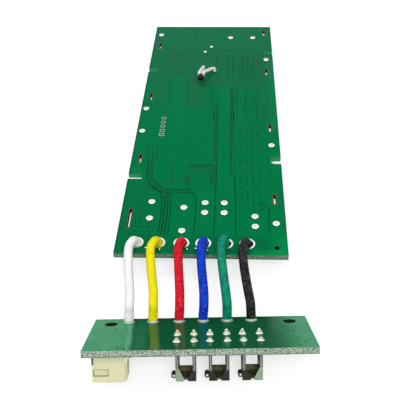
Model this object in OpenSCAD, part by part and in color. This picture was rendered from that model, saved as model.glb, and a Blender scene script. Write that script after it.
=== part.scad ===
// Battery management board: a long control board that lies on its parts with the solder side up,
// six silicone leads that leave it at its near end, and a small terminal board that leans on its
// own blade clips. X runs across the boards, Y away from the terminal board, Z up from the table.

/* [Boards] */
// Width of the control board
main_w = 48; // [47:1:54]
// Length of the control board
main_l = 140; // [126:1:160]
// Width of the terminal board
term_w = 54; // [53:1:60]
// Depth of the terminal board
term_d = 24; // [23.5:0.5:28]
// Laminate thickness of both boards
board_t = 1.6; // [1.2:0.2:2.4]
// Gap on the table between the two boards
board_gap = 18.5; // [16:0.5:26]
// Sideways offset of the terminal board
term_x = 0.6; // [-2:0.2:3]
// Turn of the terminal board on the table, in degrees
term_yaw = 2.8; // [0:0.2:4]

/* [Board edges and holes] */
// Width of the straight edge notches
notch_w = 2.6; // [2:0.1:3.2]
// Depth of the deep notch on the left edge
notch_deep = 4.4; // [3:0.1:4.8]
// Depth of the other notches
notch_shallow = 3.5; // [2.5:0.1:4]
// Width of the round-ended notch
round_notch_w = 3.5; // [3:0.1:4]
// Distance of the tab slots from the board's side edges
slot_inset = 2.8; // [2.4:0.1:3.2]
// Width of the tab slots inside their plating
slot_w = 1; // [0.8:0.1:1.2]
// Length of the short tab slots inside their plating
slot_l = 4.9; // [4:0.1:5.6]
// Length of the long tab slot inside its plating
long_slot_l = 8.6; // [7:0.1:9.6]
// Width of the bare copper rim round each tab slot
slot_rim = 0.35; // [0.2:0.05:0.5]
// Diameter of the locating hole
locating_d = 1.5; // [1.2:0.1:2]
// Diameter of the screw holes in the terminal board
screw_d = 3.2; // [3:0.1:3.4]
// Distance of the screw holes from the terminal board's side edges
screw_inset = 4.5; // [4:0.1:5]
// Distance of the screw holes from the terminal board's far edge
screw_back = 4.4; // [4:0.1:5]

/* [Pads] */
// Diameter of the large solder pads
pad_d = 2.2; // [1.8:0.1:2.6]
// Diameter of the two small solder pads
small_pad_d = 1.3; // [1:0.1:1.6]
// Height of the solder on a pad
pad_h = 0.22; // [0.1:0.02:0.4]
// Hole diameter of the header holes
header_hole_d = 1; // [0.9:0.05:1.1]
// Pad diameter of the header holes
header_pad_d = 1.8; // [1.6:0.05:2]
// Spacing of the header holes
header_pitch = 2.54; // [2.2:0.02:3]
// Thickness of the copper and tin that stands proud of the boards
plating_t = 0.06; // [0.04:0.01:0.1]

/* [Leads] */
// Outside diameter of the silicone leads
lead_d = 2.4; // [1.8:0.1:2.6]
// Diameter of the tinned strands of a lead
core_d = 1.2; // [0.8:0.1:1.3]
// Spacing of the leads on both boards
lead_pitch = 6.1; // [5.6:0.1:6.2]
// Extra space between the second and the third lead
lead_space = 0.6; // [0:0.1:0.8]
// Place of the first lead, from the middle of both boards
lead_first = -18.3; // [-19:0.1:-17.5]
// Distance of the lead holes from the control board's near edge
lead_in = 4.5; // [4:0.1:5]
// Distance of the lead joints from the terminal board's far edge
lead_back = 2.6; // [2.2:0.1:3.2]
// Hole diameter inside the plated ring that a lead passes
ring_hole_d = 3.4; // [3.2:0.1:3.6]
// Outside diameter of the plated ring
ring_d = 4.4; // [4.2:0.1:4.8]
// Height of the lead's middle over the control board where it crosses the near edge
lead_rise = 1.9; // [1.8:0.1:3]
// Diameter of the solder foot of a lead on the terminal board
foot_d = 3.2; // [3:0.1:3.6]
// Height of that solder foot
foot_h = 0.5; // [0.3:0.1:0.8]

/* [Blade clips] */
// Width of a blade clip
clip_w = 4.8; // [4.4:0.1:5.2]
// Depth of a blade clip, front to back
clip_depth = 6.2; // [5.4:0.1:7]
// Sheet thickness of the clips
sheet_t = 0.8; // [0.6:0.1:0.9]
// Spacing of the clips
clip_pitch = 7.8; // [7.2:0.1:9]
// Place of the middle clip, from the terminal board's middle
clip_x = 4.3; // [3:0.1:6]
// Distance from the terminal board's far edge to the back of the clips
clip_back = 12.85; // [12.4:0.05:14]
// How far the clips reach below the terminal board
clip_drop = 7.9; // [7.4:0.1:9]
// Width of a clip leg, front to back
leg_w = 1.2; // [1:0.1:1.4]
// Free length of the legs between the board and the clip
leg_free = 2.6; // [2:0.1:3]
// Width of the slot that holds the blade
blade_gap = 0.9; // [0.7:0.1:1.2]
// Outside diameter of the rolled lip on the left of each clip
lip_d = 1.2; // [1:0.1:1.4]
// Base diameter of the solder cones round the legs
cone_d = 2; // [1.8:0.1:2.2]
// Height of those solder cones
cone_h = 0.8; // [0.7:0.1:1.3]

/* [Signal socket] */
// Width of the socket
socket_w = 8; // [7.6:0.1:8.4]
// Depth of the socket, front to back
socket_depth = 4.8; // [4.6:0.1:5.2]
// Height of the socket below the terminal board
socket_h = 6; // [5.6:0.1:6.4]
// Wall thickness of the socket
socket_wall = 0.7; // [0.6:0.05:0.9]
// Distance from the terminal board's left edge to the socket
socket_in = 2.3; // [1.6:0.1:3]
// Distance from the terminal board's near edge to the socket
socket_front = 0.4; // [0.2:0.1:1]
// Spacing of the contacts
contact_pitch = 2; // [1.8:0.1:2.2]
// Thickness of the square contacts
contact_t = 0.5; // [0.4:0.05:0.6]

/* [Parts under the control board] */
// Height of the capacitors, which the board stands on
can_h = 5.4; // [5.2:0.1:8]
// Diameter of the capacitor cans
can_d = 6.3; // [5:0.1:6.6]
// Thickness of the capacitors' plastic bases
can_base_t = 0.9; // [0.7:0.1:1.2]
// Height of the power transistors
fet_h = 2.3; // [2:0.1:2.5]
// Body width of the power transistors
fet_w = 6.5; // [6:0.1:6.8]
// Body depth of the power transistors
fet_depth = 6.1; // [5.6:0.1:6.4]
// Spacing of the power transistors
fet_pitch = 8; // [7.4:0.1:8.8]
// Width of the controller chip
mcu_w = 7; // [6.6:0.1:7.4]
// Height of the chips
chip_h = 1.5; // [1.2:0.1:1.8]
// Pin spacing of the controller chip
mcu_pitch = 0.8; // [0.7:0.05:0.85]
// Body width of the cell monitor chip
monitor_w = 3.9; // [3.6:0.1:4.2]
// Body length of the cell monitor chip
monitor_l = 9.9; // [9.6:0.1:10.4]
// Pin spacing of the cell monitor chip
monitor_pitch = 1.27; // [1:0.01:1.3]
// Length of the power resistors
shunt_l = 6.4; // [6:0.1:6.8]
// Width of the power resistors
shunt_w = 3.2; // [2.8:0.1:3.6]
// Height of the power resistors
shunt_h = 0.7; // [0.5:0.1:1]
// Spacing of the cell balancing rows
balance_pitch = 6; // [5.4:0.1:6.6]
// Length of the small chips
chip_l = 1.6; // [1.4:0.1:2]
// Width of the small chips
chip_w = 0.8; // [0.7:0.1:1]

/* [Temperature sensor] */
// Diameter of the sensor's bead
bead_d = 2.2; // [1.8:0.1:2.6]
// Diameter of the white sleeves on its legs
sleeve_d = 1.3; // [1.1:0.1:1.5]
// Diameter of its bare legs
sensor_leg_d = 0.5; // [0.4:0.05:0.6]
// Height of the bead's middle over the control board
bead_rise = 2.9; // [2:0.1:4]

/* [Hidden] */
$fn = 48;

tiny = 0.01;                    // overlap that keeps a cut from leaving a skin
stand_h = can_h;                // underside of the control board over the table
barrel_t = 0.1;                 // wall of the plating inside a hole
tilt = atan(clip_drop / clip_back); // the clips' back corners and the far edge share the table

mask_green = [0.0, 0.45, 0.27];
tin = [0.80, 0.82, 0.80];
dark_plastic = [0.10, 0.10, 0.11];

// ---- places on the boards ----

function lead_x(i) = lead_first + i * lead_pitch + (i > 1 ? lead_space : 0);
function joint_x(i) = lead_x(i) + joint_shift;
leads = [0:5];
joint_shift = 0.15;             // the joints on the terminal board lie a little to the right

// Places are given for this size of control board, and keep their share of it when it changes
design_w = 48;
design_l = 140;
function across(x) = x * main_w / design_w;
function along(y) = y * main_l / design_l;
function spot(p) = [across(p[0]), along(p[1])];
function spots(list) = [for (p = list) spot(p)];

// Tab slots as [side, distance along the board, length]; side -1 is left and 1 is right
slots = [
    [-1, along(15), long_slot_l], [-1, along(44.3), slot_l],
    [-1, along(82.8), slot_l], [-1, along(122.6), slot_l],
    [1, along(24.1), slot_l], [1, along(62.6), slot_l],
    [1, along(101.2), slot_l], [1, along(134.4), slot_l]
];
slot_x = main_w / 2 - slot_inset;

// Straight notches as [side, distance along the board, depth]
notches = [
    [-1, along(34.9), notch_deep], [-1, along(102.3), notch_shallow], [1, along(116.6), notch_shallow]
];
round_notch_y = along(43.8);

large_pads = spots([
    [-15.4, 22.5], [-15.4, 15], [-22.2, 60.4], [-22.2, 74.6], [-21.5, 132.4],
    [15.2, 11.9], [15.2, 16.3], [21.2, 13.3], [21.3, 52.4], [21.4, 111.2], [16.5, 130], [7.4, 130],
    [-5.7, 20], [-5.7, 9.7], [0.5, 22.3], [0.5, 17.8], [6.2, 22.3], [6.2, 17.8]
]);
small_pads = spots([[-0.3, 121.8], [-2.7, 117.5]]);
// Specks of solder beside the lead holes as [across, distance from the near edge]
specks = [[-15.3, 2.4], [-11.4, 1.9], [-3.8, 2.1], [-1.4, 2.4], [1.8, 1.8]];
speck_d = 0.6;

header_at = spot([-15.4, 58.1]); // first header hole
header_count = 5;

sensor_holes = spots([[-2.9, 103.5], [1.4, 102.3]]);
sensor_hole_d = sensor_leg_d + 0.3;

locating_at = [main_w / 2 - 3.1, 3];

// Parts on the component side
cans = spots([[-14.5, 34], [14.5, 36], [-13, 125], [13, 122]]);
fet_y = lead_in + 13;
shunts = spots([[-7.5, 30], [1.5, 30]]);
fuse_at = spot([0, 38.5]);
mcu_at = spot([8, 51]);
monitor_at = spot([-5, 53]);
balance_count = 5;
balance_y = 66;                 // first balancing row
balance_rows = [for (k = [0:balance_count - 1]) along(balance_y + k * balance_pitch)];
balance_x = across(10);
switch_x = across(1.5);
filter_xs = [across(-3.5), across(-7.5)];
regulator_at = spot([9, 107]);
diodes = spots([[-12, 107], [-12, 112]]);

// ---- frames ----

// Corner of the terminal board at u across, v from the far edge and h over its underside,
// on the table's plane with the control board's near edge at Y = 0
function term_point(u, v, h) = let (
    y = -v * cos(tilt) + h * sin(tilt)
) [
    term_x + u * cos(term_yaw) - y * sin(term_yaw),
    -board_gap + u * sin(term_yaw) + y * cos(term_yaw),
    v * sin(tilt) + h * cos(tilt)
];

// The origin is the middle of the whole part's footprint
corners = [for (u = [-term_w / 2, term_w / 2], v = [0, term_d], h = [0, board_t]) term_point(u, v, h)];
socket_left = -term_w / 2 + socket_in;
socket_low = [for (u = [socket_left, socket_left + socket_w])
    term_point(u, term_d - socket_front, -socket_h)];
xs = concat([for (c = corners) c[0]], [-main_w / 2, main_w / 2]);
ys = concat([for (c = corners) c[1]], [for (c = socket_low) c[1]], [main_l]);
middle = [(min(xs) + max(xs)) / 2, (min(ys) + max(ys)) / 2];

module on_main() translate([-middle[0], -middle[1], stand_h]) children();

module on_terminal()
    translate([term_x - middle[0], -board_gap - middle[1], 0])
        rotate([-tilt, 0, term_yaw])
            children();

// Component side of the control board at [across, along], with Z away from the board
module under(at, turn = 0)
    on_main()
        translate([at[0], at[1], 0])
            mirror([0, 0, 1])
                rotate([0, 0, turn])
                    children();

// ---- shapes ----

module oblong(w, l) {
    square([w, l - w], center = true);
    translate([0, (l - w) / 2]) circle(d = w);
    translate([0, -(l - w) / 2]) circle(d = w);
}

module tube(outer, inner, h) difference() {
    cylinder(d = outer, h = h);
    translate([0, 0, -tiny]) cylinder(d = inner, h = h + 2 * tiny);
}

// Rivet of plating: a barrel through a board with a thin flange on each side
module eyelet(flange, hole) difference() {
    union() {
        translate([0, 0, -plating_t]) cylinder(d = flange, h = plating_t);
        cylinder(d = hole + 2 * barrel_t, h = board_t);
        translate([0, 0, board_t]) cylinder(d = flange, h = plating_t);
    }
    translate([0, 0, -1]) cylinder(d = hole, h = board_t + 2);
}

// Solder pad: a flat dome
module solder_dome(d, h) {
    r = (d * d / 4 + h * h) / (2 * h);
    rotate_extrude()
        intersection() {
            translate([0, h - r]) circle(r = r);
            square([d, h + 1]);
        }
}

// Moulded body: vertical lower half, tapered upper half
module moulded(w, l, h, taper = 0.25) {
    waist = h * 0.45;
    intersection() {
        rotate([90, 0, 0]) linear_extrude(height = l, center = true)
            polygon([[-w / 2, 0], [w / 2, 0], [w / 2, waist], [w / 2 - taper, h],
                [-w / 2 + taper, h], [-w / 2, waist]]);
        rotate([90, 0, 90]) linear_extrude(height = w, center = true)
            polygon([[-l / 2, 0], [l / 2, 0], [l / 2, waist], [l / 2 - taper, h],
                [-l / 2 + taper, h], [-l / 2, waist]]);
    }
}

// Bent pin: leaves a body along +X at height rise and stands on the board at its foot
module gull_pin(rise, reach, foot, w, t)
    rotate([90, 0, 0])
        linear_extrude(height = w, center = true)
            polygon([[0, rise], [reach * 0.45, rise], [reach * 0.75, t], [reach + foot, t],
                [reach + foot, 0], [reach * 0.6, 0], [reach * 0.3, rise - t], [0, rise - t]]);

// Two-ended chip: its body, and its two metal ends
module chip_body(l, w, h, end) translate([0, 0, h / 2]) cube([l - 2 * end, w, h], center = true);

module chip_end_pair(l, w, h, end)
    for (s = [-1, 1]) translate([s * (l - end) / 2, 0, h / 2]) cube([end, w, h], center = true);

// Catmull-Rom curve through a list of points
function curve_point(p0, p1, p2, p3, t) = 0.5 * (2 * p1 + (p2 - p0) * t
    + (2 * p0 - 5 * p1 + 4 * p2 - p3) * t * t + (3 * p1 - p0 - 3 * p2 + p3) * t * t * t);

function curve(p, steps) = let (n = len(p)) concat(
    [for (i = [0:n - 2], k = [0:steps - 1])
        curve_point(p[max(i - 1, 0)], p[i], p[i + 1], p[min(i + 2, n - 1)], k / steps)],
    [p[n - 1]]
);

function unit(v) = v / norm(v);

// Round cord swept along a path that never runs along X
module cord(path, d, sides = 12) {
    n = len(path);
    points = [for (i = [0:n - 1])
        let (
            along = unit(path[min(i + 1, n - 1)] - path[max(i - 1, 0)]),
            a = unit(cross(along, [1, 0, 0])),
            b = cross(along, a)
        )
        for (k = [0:sides - 1])
            path[i] + d / 2 * (cos(360 * k / sides) * a + sin(360 * k / sides) * b)];
    faces = concat(
        [[for (k = [0:sides - 1]) k]],
        [for (i = [0:n - 2], k = [0:sides - 1], half = [0, 1])
            let (
                here = i * sides + k,
                next = i * sides + (k + 1) % sides
            )
            half == 0 ? [next + sides, next, here] : [here + sides, next + sides, here]],
        [[for (k = [sides - 1:-1:0]) (n - 1) * sides + k]]
    );
    polyhedron(points = points, faces = faces);
}

// ---- control board ----

module main_outline() {
    side = main_w / 2;
    difference() {
        translate([-side, 0]) square([main_w, main_l]);
        for (n = notches)
            translate([n[0] * side, n[1]]) square([2 * n[2], notch_w], center = true);
        translate([side - notch_shallow + round_notch_w / 2, round_notch_y]) {
            circle(d = round_notch_w);
            translate([0, -round_notch_w / 2]) square([notch_shallow, round_notch_w]);
        }
        for (s = slots)
            translate([s[0] * slot_x, s[1]])
                oblong(slot_w + 2 * barrel_t, s[2] + 2 * barrel_t);
        for (i = leads) translate([lead_x(i), lead_in]) circle(d = ring_hole_d + 2 * barrel_t);
        for (k = [0:header_count - 1])
            translate(header_at + [0, k * header_pitch]) circle(d = header_hole_d + 2 * barrel_t);
        for (h = sensor_holes) translate(h) circle(d = sensor_hole_d);
        translate(locating_at) circle(d = locating_d);
    }
}

module main_board()
    color(mask_green) on_main() linear_extrude(height = board_t) main_outline();

module tab_slot_rims()
    color("peru")
        on_main()
            for (s = slots)
                translate([s[0] * slot_x, s[1], 0])
                    difference() {
                        union() {
                            linear_extrude(height = board_t)
                                oblong(slot_w + 2 * barrel_t, s[2] + 2 * barrel_t);
                            for (z = [-plating_t, board_t])
                                translate([0, 0, z])
                                    linear_extrude(height = plating_t)
                                        oblong(slot_w + 2 * slot_rim, s[2] + 2 * slot_rim);
                        }
                        translate([0, 0, -1])
                            linear_extrude(height = board_t + 2)
                                oblong(slot_w, s[2]);
                    }

module solder_pads()
    color(tin)
        on_main()
            translate([0, 0, board_t]) {
                for (p = large_pads) translate(p) solder_dome(pad_d, pad_h);
                for (p = small_pads) translate(p) solder_dome(small_pad_d, pad_h);
                for (p = specks) translate(p) solder_dome(speck_d, pad_h / 2);
            }

// The pad nearest the leads is square, to mark the first contact
module header_hole_rings()
    color(tin)
        on_main()
            for (k = [0:header_count - 1])
                translate([header_at[0], header_at[1] + k * header_pitch, 0]) {
                    eyelet(header_pad_d, header_hole_d);
                    if (k == 0)
                        for (z = [-plating_t, board_t])
                            translate([0, 0, z]) difference() {
                                translate([-header_pad_d / 2, -header_pad_d / 2, 0])
                                    cube([header_pad_d, header_pad_d, plating_t]);
                                translate([0, 0, -tiny])
                                    cylinder(d = header_hole_d, h = plating_t + 2 * tiny);
                            }
                }

module lead_hole_rings()
    color(tin) on_main() for (i = leads) translate([lead_x(i), lead_in, 0]) eyelet(ring_d, ring_hole_d);

// ---- leads ----

// How far each lead stands to the right in its hole
lean = [0.45, 0.45, 0.4, 0.4, 0.1, 0.1];
// How far each lead bows sideways from a straight run: where it crosses the near edge, a third
// of the way to the terminal board, and just before it turns down to it
bow = [
    [-1.4, -1, 0], [-1.5, -1.05, 0], [-0.7, -0.4, 0.1],
    [-0.6, -0.4, 0.2], [-1.25, -1, -0.3], [-1.45, -1.35, -0.6]
];
// How much higher each lead loops over the board
hook_up = [0, 0, -0.1, 0.1, 1, 0];

hook_r = 2.2;                   // bend radius of the loop over the ring
hook_turns = [15, 45, 80];      // angles at which the loop is drawn
hook_aside = 0.65;              // share of a lead's sideways run that falls in the loop
hook_fall = 0.7;                // share of a higher loop that is left at the near edge
lead_low = -0.4;                // end of the silicone below the control board
crown = 0.25;                   // how much the run arches upwards
turn_h = 4.2;                   // height over the terminal board at which a lead turns down to it
core_bend = 1.3;                // bend radius of the tinned strands under the board
tail_l = 3;                     // straight run of the strands after that bend
tail_held = 0.4;                // how far from their end the solder holds them
tail_joint = [0.8, 1.8];        // how much wider than the strands that solder is, below and above

// Places in the control board's frame
function seat(i) = term_point(joint_x(i), lead_back, board_t + foot_h) - [0, 0, stand_h];
function ring(i) = [lead_x(i) + lean[i], lead_in + 0.1, lead_low];
leave = term_point(0, 0, 1) - term_point(0, 0, 0);

// Point of the run at share t of the way from the near edge to the turn
function run_point(i, t, side) = let (
    from = [lead_x(i) + (seat(i)[0] - lead_x(i)) * lead_in / (lead_in - seat(i)[1]), 0,
        board_t + lead_rise + hook_up[i] * hook_fall],
    to = seat(i) + turn_h * leave
) from + t * (to - from) + [side, 0, t > 0 && t < 1 ? crown : 0];

function lead_route(i) = let (
    foot = ring(i),
    edge = run_point(i, 0, bow[i][0]),
    end = seat(i),
    aside = edge[0] - foot[0]
) concat(
    [foot, foot + [0, 0, 0.6], foot + [0, 0, 1.2]],
    [for (a = hook_turns)
        [foot[0] + aside * hook_aside * a / hook_turns[2], foot[1] - hook_r * (1 - cos(a)),
            board_t + lead_rise + hook_up[i] - hook_r * (1 - sin(a))]],
    [
        edge,
        run_point(i, 0.35, bow[i][1]),
        run_point(i, 0.8, bow[i][2]),
        run_point(i, 1, bow[i][2] / 2 + 0.15),
        end + 2.2 * leave + [bow[i][2] / 4 + 0.1, 0, 0],
        end + 1.1 * leave,
        end + 0.5 * leave,
        end
    ]
);

module lead(i, tint) color(tint) on_main() cord(curve(lead_route(i), 3), lead_d);

module lead_white() lead(0, "whitesmoke");
module lead_yellow() lead(1, "gold");
module lead_red() lead(2, "crimson");
module lead_blue() lead(3, "mediumblue");
module lead_green() lead(4, "seagreen");
module lead_black() lead(5, [0.12, 0.12, 0.13]);

// Tinned strands under the control board: down, round a bend and along the board
module lead_tail(i)
    translate(ring(i)) {
        translate([0, core_bend, 0])
            rotate([0, 90, 0])
                rotate([0, 0, -90])
                    rotate_extrude(angle = 90)
                        translate([core_bend, 0]) circle(d = core_d);
        translate([0, core_bend, -core_bend])
            rotate([-90, 0, 0])
                cylinder(d = core_d, h = tail_l);
    }

module lead_tails() color(tin) on_main() for (i = leads) lead_tail(i);

module lead_tail_solder()
    color(tin)
        on_main()
            for (i = leads)
                difference() {
                    translate([ring(i)[0], ring(i)[1] + core_bend + tail_l - tail_held,
                        -core_bend - core_d])
                        cylinder(d1 = core_d + tail_joint[0], d2 = core_d + tail_joint[1],
                            h = core_bend + core_d);
                    translate([ring(i)[0], ring(i)[1] + core_bend - 1, lead_low - core_bend])
                        rotate([-90, 0, 0])
                            cylinder(d = core_d, h = tail_l + 1);
                }

// Tinned strands through the terminal board
pin_low = 1.1;                  // how far they show below it
pin_bare = 0.3;                 // bare end under their solder
pin_joint = [0.2, 1.3];         // how much wider than the strands that solder is, below and above

module lead_pins()
    color(tin)
        on_terminal()
            for (i = leads)
                translate([joint_x(i), -lead_back, -pin_low])
                    cylinder(d = core_d, h = pin_low + board_t + foot_h);

module lead_feet()
    color(tin)
        on_terminal()
            for (i = leads)
                translate([joint_x(i), -lead_back, board_t])
                    difference() {
                        cylinder(d1 = foot_d, d2 = lead_d + 0.2, h = foot_h);
                        translate([0, 0, -1]) cylinder(d = core_d, h = foot_h + 2);
                    }

module lead_pin_solder()
    color(tin)
        on_terminal()
            for (i = leads)
                translate([joint_x(i), -lead_back, pin_bare - pin_low])
                    difference() {
                        cylinder(d1 = core_d + pin_joint[0], d2 = core_d + pin_joint[1],
                            h = pin_low - pin_bare);
                        translate([0, 0, -1]) cylinder(d = core_d, h = pin_low + 1);
                    }

// ---- temperature sensor ----

bead_l = 2.8;                   // length of the bead
bead_at = [across(-3.5), along(91.9), board_t + bead_rise];

// Where each sleeve meets the bead, from the bead's middle
sleeve_ends = [[-0.55, bead_l / 2, 0], [0.85, bead_l / 2, 0]];

// Points of each sleeve's middle line, from its hole in the board's top face: up, over in a bend,
// and on to just behind the bead
sleeve_turns = [
    [[0, 0, 0.5], [0, 0, 0.75], [0, -0.08, 1.14], [-0.02, -0.31, 1.46], [-0.03, -0.66, 1.65],
        [-0.05, -1.04, 1.77], [-0.1, -1.55, 1.86], [-0.25, -2.5, 1.95], [-0.4, -3.7, 2.14],
        [-0.62, -5.2, 2.44], [-0.9, -6.7, 2.74]],
    [[0, 0, 0.5], [0, 0, 0.75], [-0.05, -0.06, 1.14], [-0.21, -0.24, 1.46], [-0.43, -0.49, 1.65],
        [-0.68, -0.78, 1.77], [-1, -1.2, 1.85], [-1.45, -1.95, 1.92], [-2.05, -3.05, 2.06],
        [-2.8, -4.5, 2.34], [-3.6, -5.8, 2.68]]
];

function sensor_route(s) = concat(
    [for (p = sleeve_turns[s]) [sensor_holes[s][0], sensor_holes[s][1], board_t] + p],
    [for (back = [2, 1, 0]) bead_at + sleeve_ends[s] + [0, back, 0]]
);

module sensor_sleeves()
    color("whitesmoke")
        on_main()
            for (s = [0, 1]) cord(curve(sensor_route(s), 3), sleeve_d, 10);

// Bead of epoxy, round in front and narrowing a little towards its legs
module sensor_bead()
    color(dark_plastic)
        on_main()
            translate(bead_at)
                rotate([-90, 0, 0])
                    rotate_extrude()
                        intersection() {
                            union() {
                                translate([0, -bead_l / 2 + bead_d / 2]) circle(d = bead_d);
                                polygon([[0, (bead_d - bead_l) / 2], [bead_d / 2, (bead_d - bead_l) / 2],
                                    [bead_d / 2, bead_l / 2 - 0.5], [bead_d / 2 - 0.2, bead_l / 2],
                                    [0, bead_l / 2]]);
                            }
                            translate([0, -bead_l]) square([bead_d, 2 * bead_l]);
                        }

// Bare legs through the board, up into the sleeves' ends
leg_below = 0.7;                // how far the legs show under the board
leg_above = 0.5;                // how far they reach over it, to the sleeves' ends
sensor_joint_d = 1.3;           // foot of the solder round a leg
sensor_joint_h = 0.4;

module sensor_legs()
    color(tin)
        on_main()
            for (h = sensor_holes)
                translate([h[0], h[1], -leg_below])
                    cylinder(d = sensor_leg_d, h = board_t + leg_below + leg_above);

module sensor_solder()
    color(tin)
        on_main()
            for (h = sensor_holes, side = [-1, 1])
                translate([h[0], h[1], side < 0 ? 0 : board_t])
                    mirror([0, 0, side < 0 ? 1 : 0])
                        difference() {
                            cylinder(d1 = sensor_joint_d, d2 = sensor_leg_d + 0.2, h = sensor_joint_h);
                            translate([0, 0, -1]) cylinder(d = sensor_leg_d, h = sensor_joint_h + 2);
                        }

// ---- terminal board ----

clips = [-1:1];
clip_front = clip_back + clip_depth;
leg_rows = [clip_back + leg_w / 2 + 0.05, clip_front - leg_w / 2 - 0.05];
leg_x = (clip_w - sheet_t) / 2;
leg_play = 0.1;                 // room round a leg in its hole

module at_clip(i) translate([clip_x + i * clip_pitch, 0, 0]) children();

module term_outline()
    difference() {
        translate([-term_w / 2, -term_d]) square([term_w, term_d]);
        for (s = [-1, 1]) translate([s * (term_w / 2 - screw_inset), -screw_back]) circle(d = screw_d);
        for (i = leads) translate([joint_x(i), -lead_back]) circle(d = core_d + 0.2);
        for (i = clips, s = [-1, 1], row = leg_rows)
            translate([clip_x + i * clip_pitch + s * leg_x, -row])
                square([sheet_t + 2 * leg_play, leg_w + 2 * leg_play], center = true);
    }

module terminal_board()
    color(mask_green) on_terminal() linear_extrude(height = board_t) term_outline();

// Blade clip, folded from one sheet: four legs through the board, two side walls, a low web at
// the back, and two lips at the front whose edges lead the blade into its slot
funnel_top = 5;                 // depth below the board at which the lips start
funnel_low = 7.2;               // depth at which the blade slot starts
web_top = 6.3;                  // depth at which the web starts
leg_tip = 0.15;                 // how far a leg shows above its solder
lip_l = 2;                      // length of the rolled lip
lip_down = 1.5;                 // how far under the start of the front lips it is rolled
lip_wall = 0.35;                // its wall

module blade_clip() {
    inner = clip_w / 2 - sheet_t;
    for (s = [-1, 1]) {
        // side wall
        translate([s * leg_x - sheet_t / 2, -clip_front, -clip_drop])
            cube([sheet_t, clip_depth, clip_drop - leg_free]);
        // legs
        for (row = leg_rows)
            translate([s * leg_x - sheet_t / 2, -row - leg_w / 2, -leg_free - tiny])
                cube([sheet_t, leg_w, leg_free + board_t + cone_h + leg_tip + tiny]);
        // front lip
        translate([0, -clip_front + sheet_t, 0])
            rotate([90, 0, 0])
                linear_extrude(height = sheet_t)
                    polygon([[s * (inner + tiny), -funnel_top], [s * blade_gap / 2, -funnel_low],
                        [s * blade_gap / 2, -clip_drop], [s * (inner + tiny), -clip_drop]]);
    }
    // web
    translate([-inner - tiny, -clip_back - sheet_t, -clip_drop])
        cube([clip_w - 2 * sheet_t + 2 * tiny, sheet_t, clip_drop - web_top]);
    // rolled lip on the left wall
    translate([-clip_w / 2 - lip_d / 2 + 0.15, -clip_front + lip_l, -funnel_top - lip_down])
        rotate([90, 0, 0])
            tube(lip_d, lip_d - 2 * lip_wall, lip_l);
}

module clip_left() color("silver") on_terminal() at_clip(-1) blade_clip();
module clip_middle() color("silver") on_terminal() at_clip(0) blade_clip();
module clip_right() color("silver") on_terminal() at_clip(1) blade_clip();

module clip_solder()
    color(tin)
        on_terminal()
            for (i = clips, s = [-1, 1], row = leg_rows)
                at_clip(i)
                    translate([s * leg_x, -row, board_t])
                        difference() {
                            cylinder(d1 = cone_d, d2 = leg_w + 0.1, h = cone_h);
                            translate([0, 0, cone_h / 2])
                                cube([sheet_t, leg_w, cone_h + 1], center = true);
                        }

// ---- signal socket ----

socket_floor = 1.1;             // thickness of the floor against the board
socket_flange = 1.2;            // how far the foot stands out on the right
socket_bevel = 0.6;             // bevel of the upright front right corner and of the mouth's edge
bevel_side = socket_bevel * sqrt(2); // side of the square bar that cuts the bevel
contact_short = 0.9;            // how far the contacts stay inside the mouth
contact_foot = 1.2;             // how far their feet reach out behind the socket
foot_t = 0.4;                   // thickness of those feet
panel_depth = 0.3;              // depth of the sunk panel in the front wall
anchor_t = 0.4;                 // thickness of the metal anchors in the front corners
anchor_h = 1.8;                 // their height
anchor_l = 2;                   // their length, front to back

module at_socket()
    translate([socket_left + socket_w / 2, -term_d + socket_front + socket_depth / 2, 0])
        mirror([0, 0, 1])
            children();

module contact(k)
    translate([(k - 1) * contact_pitch, 0, 0]) {
        translate([0, 0, (socket_h - contact_short) / 2])
            cube([contact_t, contact_t, socket_h - contact_short], center = true);
        translate([-contact_t / 2, 0, 0])
            cube([contact_t, socket_depth / 2 + contact_foot, foot_t]);
    }

module anchor(side)
    translate([side * (socket_w - anchor_t) / 2, (anchor_l - socket_depth) / 2, anchor_h / 2])
        cube([anchor_t, anchor_l, anchor_h], center = true);

// Outline seen from the front: the foot sweeps out to the right where it meets the board
module socket_profile() {
    side = socket_w / 2;
    polygon([[-side, 0], [side + socket_flange, 0], [side + socket_flange, 0.3], [side + 0.7, 0.45],
        [side + 0.3, 0.75], [side, 1.3], [side, socket_h - socket_bevel],
        [side - socket_bevel, socket_h], [-side, socket_h]]);
}

module socket_housing()
    color("cornsilk")
        on_terminal()
            at_socket()
                difference() {
                    rotate([90, 0, 0])
                        linear_extrude(height = socket_depth, center = true)
                            socket_profile();
                    // bevelled upright corner
                    translate([socket_w / 2, -socket_depth / 2, anchor_h + socket_h])
                        rotate([0, 0, 45])
                            cube([bevel_side, bevel_side, 2 * socket_h], center = true);
                    // mouth
                    translate([-socket_w / 2 + socket_wall, -socket_depth / 2 + socket_wall,
                        socket_floor])
                        cube([socket_w - 2 * socket_wall, socket_depth - 2 * socket_wall, socket_h]);
                    // keyways in the back wall
                    for (s = [-1, 1])
                        translate([s * socket_w / 4 - 0.5, 0, socket_h - 2.6])
                            cube([1, socket_depth, 3]);
                    // sunk panel in the front wall
                    translate([-socket_w / 2 + 0.4, -socket_depth / 2 - 1, 3])
                        cube([3.3, 1 + panel_depth, 1.5]);
                    for (k = [0:2]) contact(k);
                    for (s = [-1, 1]) anchor(s);
                }

module socket_contacts() color("goldenrod") on_terminal() at_socket() for (k = [0:2]) contact(k);

module socket_anchors() color("dimgray") on_terminal() at_socket() for (s = [-1, 1]) anchor(s);

// ---- parts under the control board ----

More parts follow.
